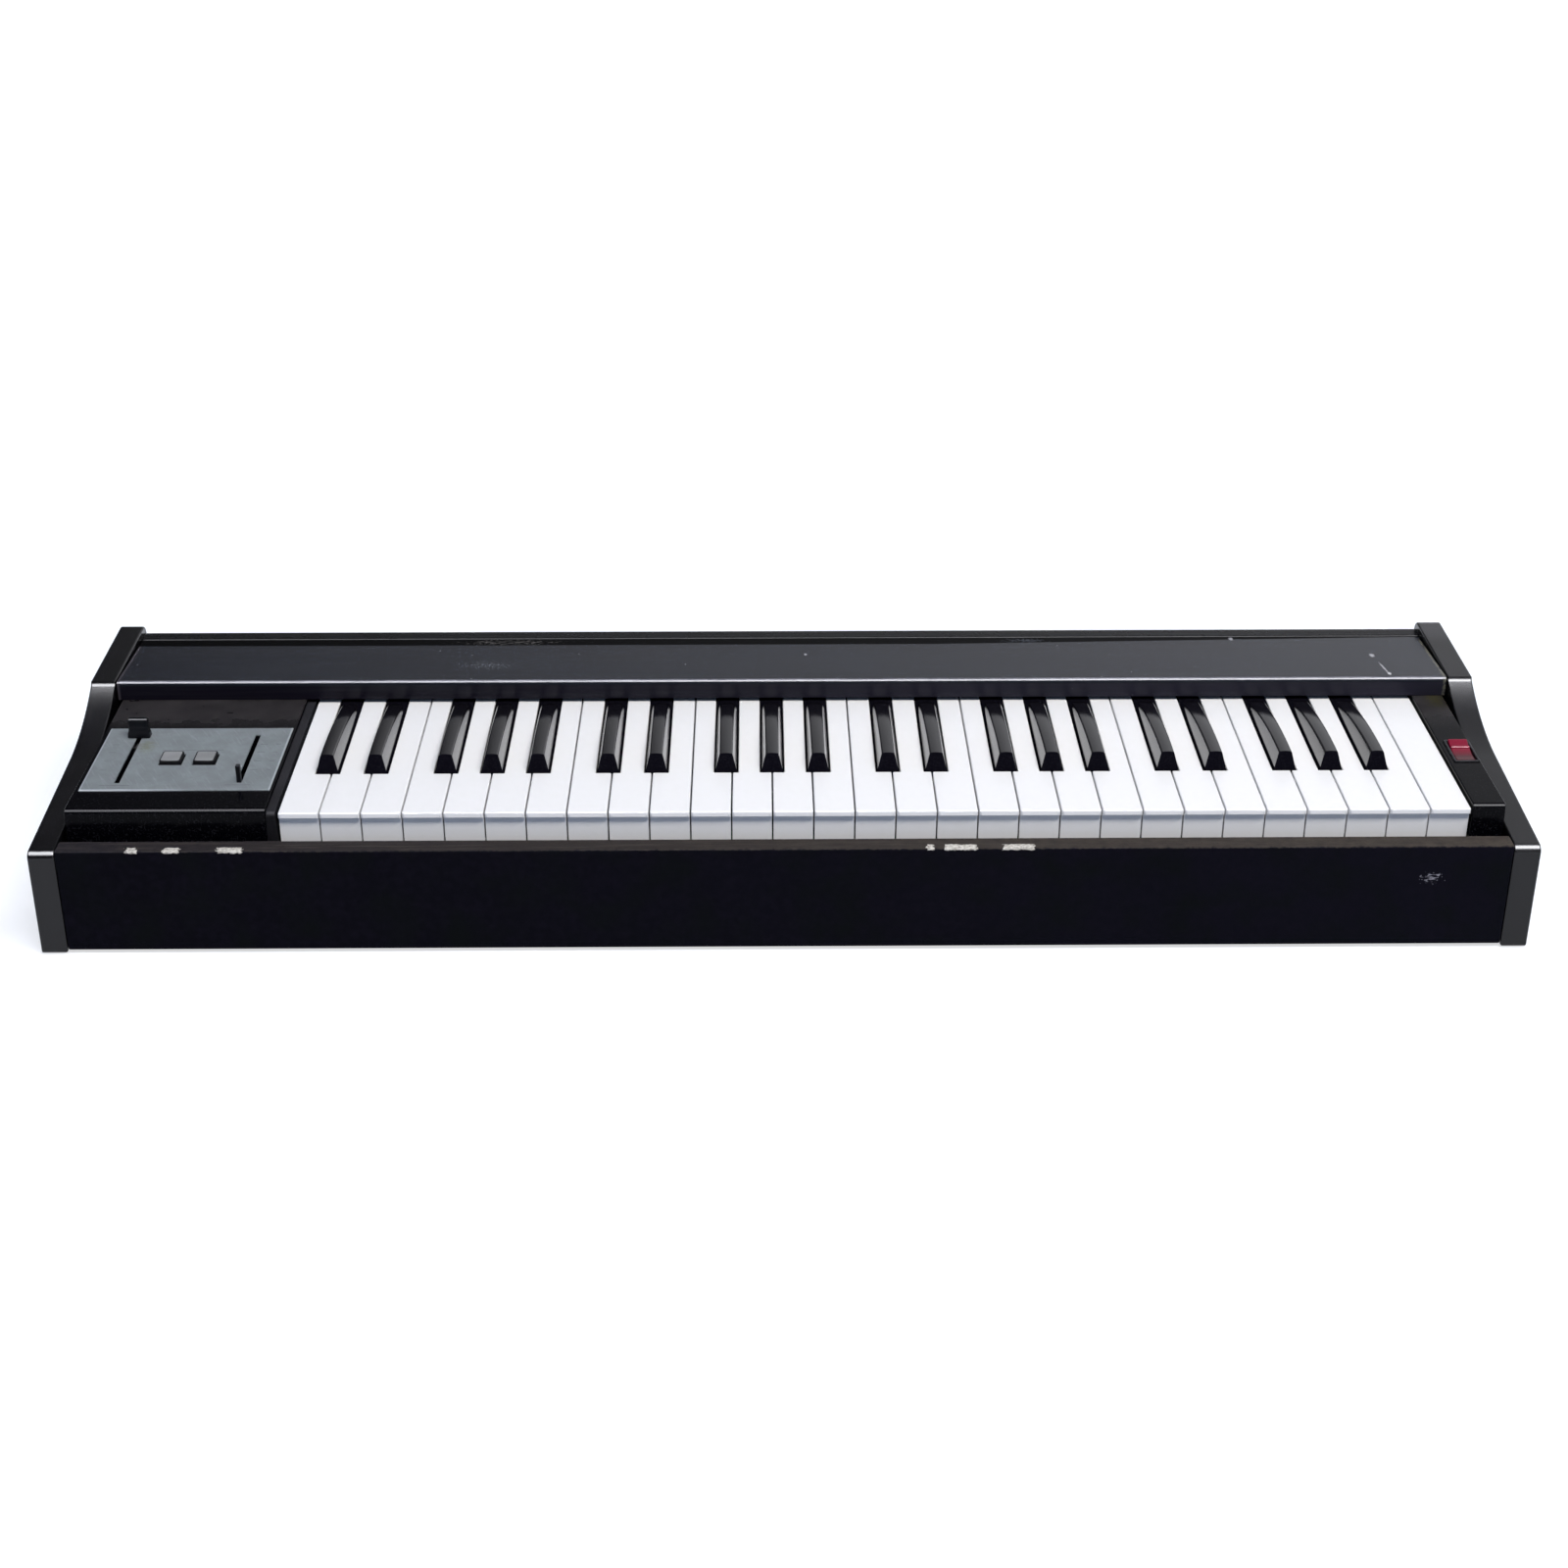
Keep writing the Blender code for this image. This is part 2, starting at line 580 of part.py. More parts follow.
def make_sliders():
    """Levers on carriages below the plate, one with its flared knob and one bare."""
    black = material("slider_plastic", (0.014, 0.014, 0.016), 0.4)
    steel = material("lever_steel", (0.03, 0.03, 0.035), 0.45, 0.6)
    half_lever = LEVER_SIZE[1] / 2
    rests = {
        "slider_knob": SLOT_REAR_Y - half_lever - GAP,
        "slider_lever": SLOT_FRONT_Y + half_lever + GAP,
    }
    looks = {"slider_knob": black, "slider_lever": steel}
    for name, x in SLOT_XS.items():
        y = rests[name]
        carriage_top = BLOCK_CEILING - 2 * GAP
        low = (x - CARRIAGE_SIZE[0] / 2, y - CARRIAGE_SIZE[1] / 2, carriage_top - CARRIAGE_SIZE[2])
        high = (x + CARRIAGE_SIZE[0] / 2, y + CARRIAGE_SIZE[1] / 2, carriage_top)
        slider = place(name, box_mesh(name, low, high), parts, (x, y, PLATE_TOP), looks[name])
        low = (x - LEVER_SIZE[0] / 2, y - half_lever, carriage_top - GAP)
        high = (x + LEVER_SIZE[0] / 2, y + half_lever, PLATE_TOP + LEVER_HEIGHT)
        join(slider, box_mesh(name + "_blade", low, high))
        if name == "slider_knob":
            join(slider, knob_mesh(x, y))


def knob_mesh(x, y):
    """Slider knob with a waist: wide foot, narrow neck, finger pad that flares out above."""
    crest_top = [size - KNOB_CREST_CHAMFER for size in KNOB_CREST]
    levels = (
        (0, KNOB_BASE),
        (KNOB_FOOT_TOP, KNOB_BASE),
        (KNOB_WAIST[0], KNOB_NECK),
        (KNOB_WAIST[1], KNOB_NECK),
        (KNOB_HEIGHT - KNOB_CREST_CHAMFER, KNOB_CREST),
        (KNOB_HEIGHT, crest_top),
    )
    bm = bmesh.new()
    rings = []
    for lift, (width, depth) in levels:
        corners = []
        for side_x, side_y in ((-1, -1), (1, -1), (1, 1), (-1, 1)):
            at = (x + side_x * width / 2, y + side_y * depth / 2, PLATE_TOP + KNOB_LIFT + lift)
            corners.append(bm.verts.new(at))
        pairs = zip(corners, corners[1:] + corners[:1])
        rings.append([bm.edges.new(pair) for pair in pairs])
    for low, high in zip(rings, rings[1:]):
        bmesh.ops.bridge_loops(bm, edges=low + high)
    bmesh.ops.holes_fill(bm, edges=rings[0] + rings[-1])
    return mesh_from(bm, "knob")


def make_buttons():
    """Square caps that drop through the plate, kept in by a flange below it."""
    grey = material("button_plastic", (0.42, 0.42, 0.40), 0.45)
    half_x = BUTTON_SIZE[0] / 2
    half_y = BUTTON_SIZE[1] / 2
    reach, flange = BUTTON_FLANGE
    for name, x in BUTTON_XS.items():
        low = (x - half_x, BUTTON_Y - half_y, BLOCK_CEILING - flange - GAP)
        high = (x + half_x, BUTTON_Y + half_y, PLATE_TOP + BUTTON_RISE)
        button = place(name, box_mesh(name, low, high), parts, (x, BUTTON_Y, PLATE_TOP), grey)
        round_edges(button, BUTTON_EDGE_RADIUS)
        flange_low = (x - half_x - reach, BUTTON_Y - half_y - reach, low[2] - GAP)
        flange_high = (x + half_x + reach, BUTTON_Y + half_y + reach, BLOCK_CEILING - GAP)
        join(button, box_mesh(name + "_flange", flange_low, flange_high))


def make_rocker():
    """Paddle with a shallow valley across its top, resting with its rear end up."""
    red = material("rocker_plastic", (0.35, 0.01, 0.02), 0.25)
    x, y = ROCKER_CENTRE
    half_x = ROCKER_SIZE[0] / 2
    half_y = ROCKER_SIZE[1] / 2
    end, ridge = ROCKER_ENDS
    right = [(0, ROCKER_VALLEY), (half_y - ROCKER_RIDGE_INSET, ridge), (half_y, end)]
    right += [(half_y, -ROCKER_SKIRT), (half_y / 2, -ROCKER_ROOT)]
    level = right + [(-a, b) for a, b in reversed(right[1:])]
    cosine = math.cos(math.radians(ROCKER_TILT))
    sine = math.sin(math.radians(ROCKER_TILT))
    tilted = [(y + a * cosine - b * sine, ROCKER_AXIS_Z + a * sine + b * cosine) for a, b in level]
    mesh = profile_mesh("power_rocker", tilted, x - half_x, x + half_x)
    place("power_rocker", mesh, parts, (x, y, ROCKER_AXIS_Z), red)


def make_base():
    """Floor and rear boards with feet, key rails, pivot rod, end block and sockets."""
    name = "base_tray"
    black = material("base_paint", (0.02, 0.02, 0.022), 0.55)
    boards = [
        (BOARD_BACK_Y + GAP, FLOOR_LOW),
        (REAR_BOARD_BACK_Y, FLOOR_LOW),
        (REAR_BOARD_BACK_Y, REAR_BOARD_TOP - REAR_BOARD_FALL),
        (REAR_BOARD_FRONT_Y, REAR_BOARD_TOP),
        (REAR_BOARD_FRONT_Y, FLOOR_TOP),
        (BOARD_BACK_Y + GAP, FLOOR_TOP),
    ]
    base = place(name, profile_mesh(name, boards, -INNER_X, INNER_X), parts, look=black)
    join(base, feet_mesh())
    join_key_rails(base)
    join_end_block(base)
    join_jacks(base)
    join_inlet(base)


def feet_mesh():
    bm = bmesh.new()
    foot_x = HALF_WIDTH - CHEEK_THICKNESS - FOOT_INSET
    foot_y = HALF_DEPTH - BOARD_THICKNESS - FOOT_INSET
    for x in (-foot_x, foot_x):
        for y in (-foot_y, foot_y):
            top = (x, y, FLOOR_LOW + OVERLAP)
            add_rod(bm, (x, y, 0), top, FOOT_RADIUS, 20, FOOT_RADIUS + FOOT_FLARE)
    return mesh_from(bm, "feet")


def join_key_rails(base):
    """Stepped pivot rail with its rod, and the two felt-topped rails that stop the keys."""
    left = KEY_ROW_LEFT
    right = KEY_ROW_RIGHT
    front_reach, rear_reach = PIVOT_RAIL_REACH
    lower, upper = PIVOT_RAIL_STEPS
    web = PIVOT_WEB / 2
    rail = [
        (PIVOT_Y - front_reach, SUNK),
        (PIVOT_Y - front_reach, lower),
        (PIVOT_Y - web, upper),
        (PIVOT_Y - web, PIVOT_Z - OVERLAP),
        (PIVOT_Y + web, PIVOT_Z - OVERLAP),
        (PIVOT_Y + web, upper),
        (PIVOT_Y + rear_reach, lower),
        (PIVOT_Y + rear_reach, SUNK),
    ]
    join(base, profile_mesh("pivot_rail", rail, left, right))
    rod = bmesh.new()
    add_rod(rod, (left, PIVOT_Y, PIVOT_Z), (right, PIVOT_Y, PIVOT_Z), PIVOT_ROD_RADIUS, 12)
    join(base, mesh_from(rod, "pivot_rod"))
    stops = bmesh.new()
    for front, rear, top in STOP_RAILS:
        add_box(stops, (left, front, SUNK), (right, rear, top))
    join(base, mesh_from(stops, "key_stops"))


def join_end_block(base):
    """Block right of the keys with the bezel and the well of the power rocker."""
    outline = block_outline(BLOCK_TOP)
    outline[0] = (KEY_FRONT_Y, SUNK)
    outline[-1] = (BLOCK_REAR_Y, SUNK)
    join(base, profile_mesh("end_block", outline, *END_BLOCK))
    x, y = ROCKER_CENTRE
    half_x = ROCKER_SIZE[0] / 2 + 2 * GAP
    half_y = ROCKER_SIZE[1] / 2 + 3 * GAP
    rim_low = (x - half_x - BEZEL_RIM, y - half_y - BEZEL_RIM, BLOCK_TOP - OVERLAP)
    rim_high = (x + half_x + BEZEL_RIM, y + half_y + BEZEL_RIM, BLOCK_TOP + BEZEL_RISE)
    join(base, box_mesh("switch_bezel", rim_low, rim_high))
    well_low = (x - half_x, y - half_y, BLOCK_TOP - ROCKER_WELL_DEPTH)
    well_high = (x + half_x, y + half_y, BLOCK_TOP + BEZEL_RISE + GAP)
    cut(base, box_mesh("switch_well", well_low, well_high))


def join_jacks(base):
    """Two 6.35 mm jack sockets in a recess of the rear board, with nuts outside its web."""
    web_y = REAR_BOARD_FRONT_Y + JACK_WEB
    left, right = JACK_RECESS_X
    low = (left, web_y, SOCKET_Z - JACK_RECESS_HEIGHT / 2)
    high = (right, HALF_DEPTH, SOCKET_Z + JACK_RECESS_HEIGHT / 2)
    cut(base, box_mesh("jack_recess", low, high))
    bodies = bmesh.new()
    nuts = bmesh.new()
    bores = bmesh.new()
    for x in JACK_XS:
        inner = (x, web_y - JACK_BODY_LENGTH, SOCKET_Z)
        outer = (x, web_y - GAP, SOCKET_Z)
        face = (x, web_y + JACK_NUT_HEIGHT, SOCKET_Z)
        bottom = (x, web_y - JACK_BODY_LENGTH + JACK_END_WALL, SOCKET_Z)
        add_rod(bodies, inner, outer, JACK_BODY_RADIUS, 12)
        add_rod(nuts, outer, face, JACK_NUT_RADIUS, 6)
        add_rod(bores, bottom, (x, HALF_DEPTH, SOCKET_Z), JACK_BORE_RADIUS, 16)
    join(base, mesh_from(bodies, "jack_bodies"))
    join(base, mesh_from(nuts, "jack_nuts"))
    cut(base, mesh_from(bores, "jack_bores"))


def join_inlet(base):
    """Mains inlet through the rear board: flanged shell with three pins at its bottom."""
    width, depth, height = INLET_RECESS
    half_x = width / 2
    half_z = height / 2
    floor_y = HALF_DEPTH - depth
    wall = INLET_WALL
    low = (INLET_X - half_x - wall, floor_y - wall, SOCKET_Z - half_z - wall)
    high = (INLET_X + half_x + wall, HALF_DEPTH, SOCKET_Z + half_z + wall)
    join(base, box_mesh("inlet_body", low, high))
    low = (INLET_X - half_x, floor_y, SOCKET_Z - half_z)
    high = (INLET_X + half_x, HALF_DEPTH + GAP, SOCKET_Z + half_z)
    cut(base, box_mesh("inlet_recess", low, high))
    pins = bmesh.new()
    pin_width, pin_length, pin_height = INLET_PIN
    for side, lift in ((-1, -1), (0, 1), (1, -1)):
        x = INLET_X + side * INLET_PIN_SPACING
        z = SOCKET_Z + lift * INLET_PIN_OFFSET
        low = (x - pin_width / 2, floor_y - GAP, z - pin_height / 2)
        add_box(pins, low, (x + pin_width / 2, floor_y + pin_length, z + pin_height / 2))
    join(base, mesh_from(pins, "inlet_pins"))


clear_scene()
parts = new_collection("string_synthesizer")
helpers = new_collection("cutters")
make_base()
make_front_board()
make_cheeks()
make_top_cover()
make_control_block()
make_sliders()
make_buttons()
make_rocker()
black_centres = black_key_centres()
make_white_keys(black_centres)
make_black_keys(black_centres)
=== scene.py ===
"""Looks of a string synthesizer with 49 keys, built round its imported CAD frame.

Lengths are metres, +X to the player's right, +Y to the rear, +Z up.
"""

import math

import bpy
import numpy as np
from mathutils import Matrix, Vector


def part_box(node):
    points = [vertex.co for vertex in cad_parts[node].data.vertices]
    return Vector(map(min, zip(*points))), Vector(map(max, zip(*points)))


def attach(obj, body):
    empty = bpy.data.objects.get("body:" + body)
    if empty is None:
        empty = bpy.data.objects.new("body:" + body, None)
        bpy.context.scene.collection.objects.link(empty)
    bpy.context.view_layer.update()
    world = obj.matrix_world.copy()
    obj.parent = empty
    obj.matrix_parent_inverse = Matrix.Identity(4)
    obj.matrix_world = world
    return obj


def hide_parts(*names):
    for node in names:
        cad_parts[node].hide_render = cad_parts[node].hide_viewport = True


bl_info = {
    "name": "String synthesizer with 49 keys",
    "version": (1, 0, 0),
    "blender": (4, 5, 0),
    "location": "3D View > Sidebar > Synthesizer",
    "description": "Shapes and finishes of a string synthesizer, and a pale studio for it",
    "category": "Object",
}

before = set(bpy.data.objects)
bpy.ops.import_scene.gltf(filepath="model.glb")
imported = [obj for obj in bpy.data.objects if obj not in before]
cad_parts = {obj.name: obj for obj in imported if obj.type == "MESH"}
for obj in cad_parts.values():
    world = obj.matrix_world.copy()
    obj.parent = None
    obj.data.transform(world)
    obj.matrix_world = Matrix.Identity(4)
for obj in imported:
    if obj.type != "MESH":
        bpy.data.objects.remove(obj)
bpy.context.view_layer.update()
BOX = {name: np.array([list(corner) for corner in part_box(name)]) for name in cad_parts}

mm = 0.001
# Edges that turn by more than this many degrees stay sharp
CREASE = 34

# Places that the frame's boxes don't give
COVER_FRONT_Y = 38.5 * mm
COVER_TOP = 97 * mm
COVER_SLOPE = 2.95
KEY_FRONT_Y = -108.5 * mm
KEY_TOP = 82 * mm
KEY_TAIL_Y = 100 * mm
KEY_TAIL_LOW = 69 * mm
HEAD_REAR_Y = -59.1 * mm
BLACK_FRONT_Y = -58.5 * mm
PIVOT = (94 * mm, 69 * mm)
SEAT_RADIUS = 2.8 * mm
BLOCK_TOP = 84.5 * mm
BLOCK_LOW = 14.3 * mm
BLOCK_REAR_Y = 80 * mm
BLOCK_RIGHT = -297.1 * mm
END_BLOCK = (393.6 * mm, 412.5 * mm)
PLATE = ((-408.65 * mm, -84.9 * mm), (-298.35 * mm, -3.1 * mm))
PLATE_TOP = 85.3 * mm
SLOT_XS = {"slider_knob": -388.7 * mm, "slider_lever": -317.8 * mm}
SLOT_YS = (-76 * mm, -12.5 * mm)
SLOT_HALF = 1.6 * mm
BLADE_HALF = np.array([1.3, 1.7]) * mm
CARRIAGE_HALF = np.array([4, 6]) * mm
BUTTON_HALF = np.array([6.3, 6.8]) * mm
BUTTON_WINDOW_HALF = np.array([7.0, 7.4]) * mm
ROCKER = (404.3 * mm, -40 * mm, 82.5 * mm)
ROCKER_HALF_WIDTH = 5.7 * mm
ROCKER_TILT = 7
BEZEL_HALF = np.array([7.8, 14.4]) * mm
SOCKET_Z = 44 * mm
JACK_RECESS = (-395 * mm, -310 * mm, 24 * mm, 64 * mm)
JACK_XS = (-370 * mm, -335 * mm)
JACK_WEB = 3 * mm
FLOOR_BOARD = (4 * mm, 14 * mm)
REAR_BOARD = (112.7 * mm, 125.7 * mm)
INLET_X = 360 * mm
INLET_HALF = (16 * mm, 12 * mm)


def linear(code):
    """Linear colour of an sRGB code: ((c + 0.055) / 1.055) to the power 2.4, or c / 12.92 when dark."""
    parts = np.array([int(code[i : i + 2], 16) for i in (1, 3, 5)]) / 255
    return (*np.where(parts > 0.04045, ((parts + 0.055) / 1.055) ** 2.4, parts / 12.92), 1.0)


# Outlines and surfaces


def quarter(steps):
    """Cosines and sines of steps + 1 angles from 0 to 90 degrees."""
    turn = np.linspace(0, math.pi / 2, steps + 1)
    return np.cos(turn), np.sin(turn)


def arc(centre, radius, start, end, steps):
    """Points centre + radius (cos t, sin t), with t from start to end in degrees."""
    turn = np.radians(np.linspace(start, end, steps + 1))
    return np.array(centre) + radius * np.stack([np.cos(turn), np.sin(turn)], 1)


def rounded_box(low, high, radii, steps=4):
    """Counterclockwise rectangle whose corners, from the high one round, are quarter circles."""
    radii = np.broadcast_to(radii, 4)
    corners = ((high[0], high[1]), (low[0], high[1]), (low[0], low[1]), (high[0], low[1]))
    inward = ((-1, -1), (1, -1), (1, 1), (-1, 1))
    turns = []
    for k in range(4):
        centre = np.array(corners[k]) + np.array(inward[k]) * radii[k]
        turns.append(arc(centre, radii[k], 90 * k, 90 * k + 90, steps))
    return np.concatenate(turns)


def circle(centre, radius, sides, start=0.0):
    """Counterclockwise regular polygon with its corners on a circle."""
    return arc(centre, radius, start, start + 360 - 360 / sides, sides - 1)


def counterclockwise(outline):
    """The outline, turned round if its area, half the sum of x dy - y dx, is negative."""
    after = np.roll(outline, -1, 0)
    area = (outline[:, 0] * after[:, 1] - outline[:, 1] * after[:, 0]).sum()
    return outline if area > 0 else outline[::-1]


def inset(outline, distance):
    """Outline moved inward by a distance: each point goes against (a + b) / (1 + a.b), the mitre of
    the outward normals a and b of its two sides."""
    after = np.roll(outline, -1, 0) - outline
    normal = np.stack([after[:, 1], -after[:, 0]], 1)
    normal /= np.linalg.norm(normal, axis=1, keepdims=True)
    before = np.roll(normal, 1, 0)
    mitre = (before + normal) / (1 + (before * normal).sum(1, keepdims=True))
    return outline - mitre * distance


def carried(outline, steps, axes="xyz"):
    """Rings of an outline carried along its axis: each step is (inset, level). The axes are those of
    the outline's two directions and of the level."""
    outline = counterclockwise(np.asarray(outline, float))
    rings = np.empty((len(steps), len(outline), 3))
    for ring, (distance, level) in zip(rings, steps):
        ring[:, "xyz".index(axes[0])], ring[:, "xyz".index(axes[1])] = inset(outline, distance).T
        ring[:, "xyz".index(axes[2])] = level
    return rings


def rounded_levels(low, high, radius, steps=4):
    """Steps for carried() whose ends are quarter circles: inset r (1 - sin t), level r (1 - cos t) from
    the end."""
    cosine, sine = quarter(steps)
    first = np.stack([radius * (1 - sine), low + radius * (1 - cosine)], 1)
    last = np.stack([radius * (1 - sine), high - radius * (1 - cosine)], 1)[::-1]
    return np.concatenate([first, last])


def outward(points, faces):
    """The faces, turned over if the shell's volume, a sixth of the sum of a.(b x c), is negative."""
    volume = 0.0
    for group in faces:
        first = points[group[:, 0]]
        for k in range(1, group.shape[1] - 1):
            pair = np.cross(points[group[:, k]], points[group[:, k + 1]])
            volume += (first * pair).sum()
    return faces if volume > 0 else [group[:, ::-1] for group in faces]


def solid(rings):
    """Closed shell over rings of points: quads between neighbours and a flat face on each end."""
    count, around = rings.shape[:2]
    index = np.arange(count * around).reshape(count, around)
    after = np.roll(index, -1, 1)
    quads = np.stack([index[:-1], after[:-1], after[1:], index[1:]], -1).reshape(-1, 4)
    points = rings.reshape(-1, 3)
    return points, outward(points, [quads, index[:1, ::-1], index[-1:]])


def extruded(outline, low, high, radius, steps=3, axes="yzx"):
    """Solid of an outline carried along its axis from low to high, with round edges at both ends."""
    return solid(carried(outline, rounded_levels(low, high, radius, steps), axes))


def bar(low, high, radius, axis="x", corner=None, steps=3):
    """Box with round edges: a rounded rectangle carried along one axis between rounded ends."""
    axes = {"x": "yzx", "y": "xzy", "z": "xyz"}[axis]
    first, second, along = ("xyz".index(letter) for letter in axes)
    corners = (low[first], low[second]), (high[first], high[second])
    outline = rounded_box(*corners, corner or radius, steps)
    return extruded(outline, low[along], high[along], radius, steps, axes)


def walled(outer, inner, full, capped=False):
    """Closed wall between two surfaces given on one grid. Each full cell is a quad of both surfaces, and
    a wall joins them along every border with an empty cell. When capped, the first and last lines are
    closed flat on each surface instead, and their open side gets a rim."""
    rows, columns = outer.shape[:2]
    size = rows * columns
    index = np.arange(size).reshape(rows, columns)
    front = np.stack([index[:-1, :-1], index[1:, :-1], index[1:, 1:], index[:-1, 1:]], -1)[full]
    faces = [front, front[:, ::-1] + size]
    edge = np.pad(full.astype(int), 1)
    if capped:
        edge[0], edge[-1] = edge[1], edge[-2]
    across = edge[1:, 1:-1] - edge[:-1, 1:-1]
    along = edge[1:-1, 1:] - edge[1:-1, :-1]
    for change, start, end in (
        (across, index[:, :-1], index[:, 1:]),
        (-along, index[:-1, :], index[1:, :]),
    ):
        for sign, a, b in ((1, start, end), (-1, end, start)):
            a, b = a[change == sign], b[change == sign]
            faces.append(np.stack([a, b, b + size, a + size], -1))
    if capped:
        for line, sign in ((index[0], 1), (index[-1], -1)):
            faces += [line[::sign][None], line[::-sign][None] + size]
            a, b = (line[0], line[-1])[::sign]
            faces.append(np.array([[a, b, b + size, a + size]]))
    points = np.concatenate([outer.reshape(-1, 3), inner.reshape(-1, 3)])
    used, places = np.unique(np.concatenate([group.ravel() for group in faces]), return_inverse=True)
    cuts = np.cumsum([group.size for group in faces])[:-1]
    faces = [part.reshape(group.shape) for part, group in zip(np.split(places, cuts), faces)]
    return points[used], outward(points[used], faces)


def eased(at, knots, values):
    """Values at the knots, with (1 - cos pi s) / 2 of the way between two neighbours."""
    at = np.clip(at, knots[0], knots[-1])
    left = np.clip(np.searchsorted(knots, at, "right") - 1, 0, len(knots) - 2)
    knots, values = np.asarray(knots), np.asarray(values)
    share = (at - knots[left]) / (knots[left + 1] - knots[left])
    return values[left] + (values[left + 1] - values[left]) * (1 - np.cos(math.pi * share)) / 2


def make_piece(name, shells, look, body, stands_for=()):
    """Mesh object from closed shells, smooth up to the crease angle, riding on a body of the frame."""
    points = np.concatenate([shell[0] for shell in shells])
    if not np.isfinite(points).all():
        raise RuntimeError("the shape of " + name + " has points that are not finite")
    start, faces = 0, []
    for shell_points, groups in shells:
        for group in groups:
            faces += (group + start).tolist()
        start += len(shell_points)
    mesh = bpy.data.meshes.new(name)
    mesh.from_pydata(points, [], faces)
    mesh.shade_smooth()
    mesh.set_sharp_from_angle(angle=math.radians(CREASE))
    mesh.materials.append(look)
    piece = bpy.data.objects.new(name, mesh)
    bpy.context.scene.collection.objects.link(piece)
    even = piece.modifiers.new("flat faces stay flat", "WEIGHTED_NORMAL")
    even.keep_sharp = True
    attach(piece, body)
    if stands_for:
        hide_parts(*stands_for)
    return piece


# Finishes


def add(tree, kind, inputs, **settings):
    """Adds a node, with its settings, and links or sets its inputs."""
    node = tree.nodes.new(kind)
    for name, value in settings.items():
        setattr(node, name, value)
    return wire(tree, node, inputs)


def wire(tree, node, inputs):
    """Links each input that is given a socket, or a node, which gives its first output, and sets the
    others. A text is a colour's sRGB code."""
    for name, value in inputs.items():
        if isinstance(value, bpy.types.Node):
            value = value.outputs[0]
        if isinstance(value, bpy.types.NodeSocket):
            tree.links.new(value, node.inputs[name])
        else:
            node.inputs[name].default_value = linear(value) if isinstance(value, str) else value
    return node


def finish_named(name):
    """New material, with its tree, its shader and its object's coordinates in millimetres."""
    made = bpy.data.materials.new(name)
    made.use_nodes = True
    tree = made.node_tree
    at = add(tree, "ShaderNodeTexCoord", {}).outputs["Object"]
    at = add(tree, "ShaderNodeVectorMath", {0: at, "Scale": 1000.0}, operation="SCALE")
    return made, tree, tree.nodes["Principled BSDF"], at


def clouds(tree, at, size, low=0.3, high=0.7, start=0.0, end=1.0, turn=0.0, detail=3.0):
    """Soft patches whose noise from low to high reads as start to end. Their size is in mm, along X, Y
    and Z where they are streaks, which turn about Z."""
    place = {"Vector": at, "Rotation": (0, 0, turn), "Scale": tuple(np.broadcast_to(size, 3))}
    place = add(tree, "ShaderNodeMapping", place, vector_type="TEXTURE")
    noise = add(tree, "ShaderNodeTexNoise", {"Vector": place, "Scale": 1.0, "Detail": detail})
    return add(tree, "ShaderNodeMapRange", {0: noise, 1: low, 2: high, 3: start, 4: end})


def near(tree, at, centre, reach, turn=0.0, ragged=0.5, softness=0.4):
    """1 inside an ellipsoid with its reach in mm round a centre, 0 outside, with a noisy rim."""
    place = {"Vector": at, "Location": centre, "Rotation": (0, 0, turn), "Scale": reach}
    place = add(tree, "ShaderNodeMapping", place, vector_type="TEXTURE")
    far = add(tree, "ShaderNodeVectorMath", {0: place}, operation="LENGTH").outputs[1]
    rim = clouds(tree, at, 2.0, 0.3, 0.7, -ragged, ragged)
    far = add(tree, "ShaderNodeMath", {0: far, 1: rim}, operation="ADD")
    return add(tree, "ShaderNodeMapRange", {0: far, 1: 1.0, 2: 1.0 - softness})


def within(tree, *ramps):
    """Product of ramps, each a value, where it counts as 0 and where it counts as 1."""
    share = 1.0
    for value, zero, one in ramps:
        ramp = add(tree, "ShaderNodeMapRange", {0: value, 1: zero, 2: one})
        share = add(tree, "ShaderNodeMath", {0: share, 1: ramp}, operation="MULTIPLY")
    return share


def layered(tree, colour, *layers):
    """Colours laid over one another: each layer is an amount from 0 to 1 and its colour."""
    for amount, over in layers:
        mix = add(tree, "ShaderNodeMix", {0: amount, 6: colour, 7: over}, data_type="RGBA")
        colour = mix.outputs[2]
    return colour


def moulded_abs(name, colour, roughness, level, grain):
    """Moulded ABS or nylon: a satin skin with a fine spark-eroded grain and softly uneven gloss. The
    top of the right cheek is painted lighter, a painted sheen for the light that falls from the right."""
    made, tree, shader, at = finish_named(name)
    x, _, z = add(tree, "ShaderNodeSeparateXYZ", {0: at}).outputs
    lighter = tuple(min(1.0, part * 1.6 + 0.0005) for part in colour[:3]) + (1.0,)
    # A grain of about 0.15 mm is too fine to show, so it is drawn 0.8 mm wide
    bump = add(tree, "ShaderNodeBump", {"Height": clouds(tree, at, 0.8), "Distance": grain * mm})
    skin = {
        "Base Color": layered(
            tree,
            tuple(colour),
            (clouds(tree, at, 25.0, 0.35, 0.65), lighter),
            # Painted sheen: the top of the right cheek is painted lighter for the light from the right
            (within(tree, (x, 405.0, 415.0), (z, 97.8, 98.3)), "#2A2A2D"),
        ),
        "Roughness": clouds(tree, at, 40.0, 0.3, 0.7, roughness - 0.04, roughness + 0.05),
        "Specular IOR Level": level,
        "IOR": 1.53,
        "Normal": bump,
    }
    wire(tree, shader, skin)
    return made


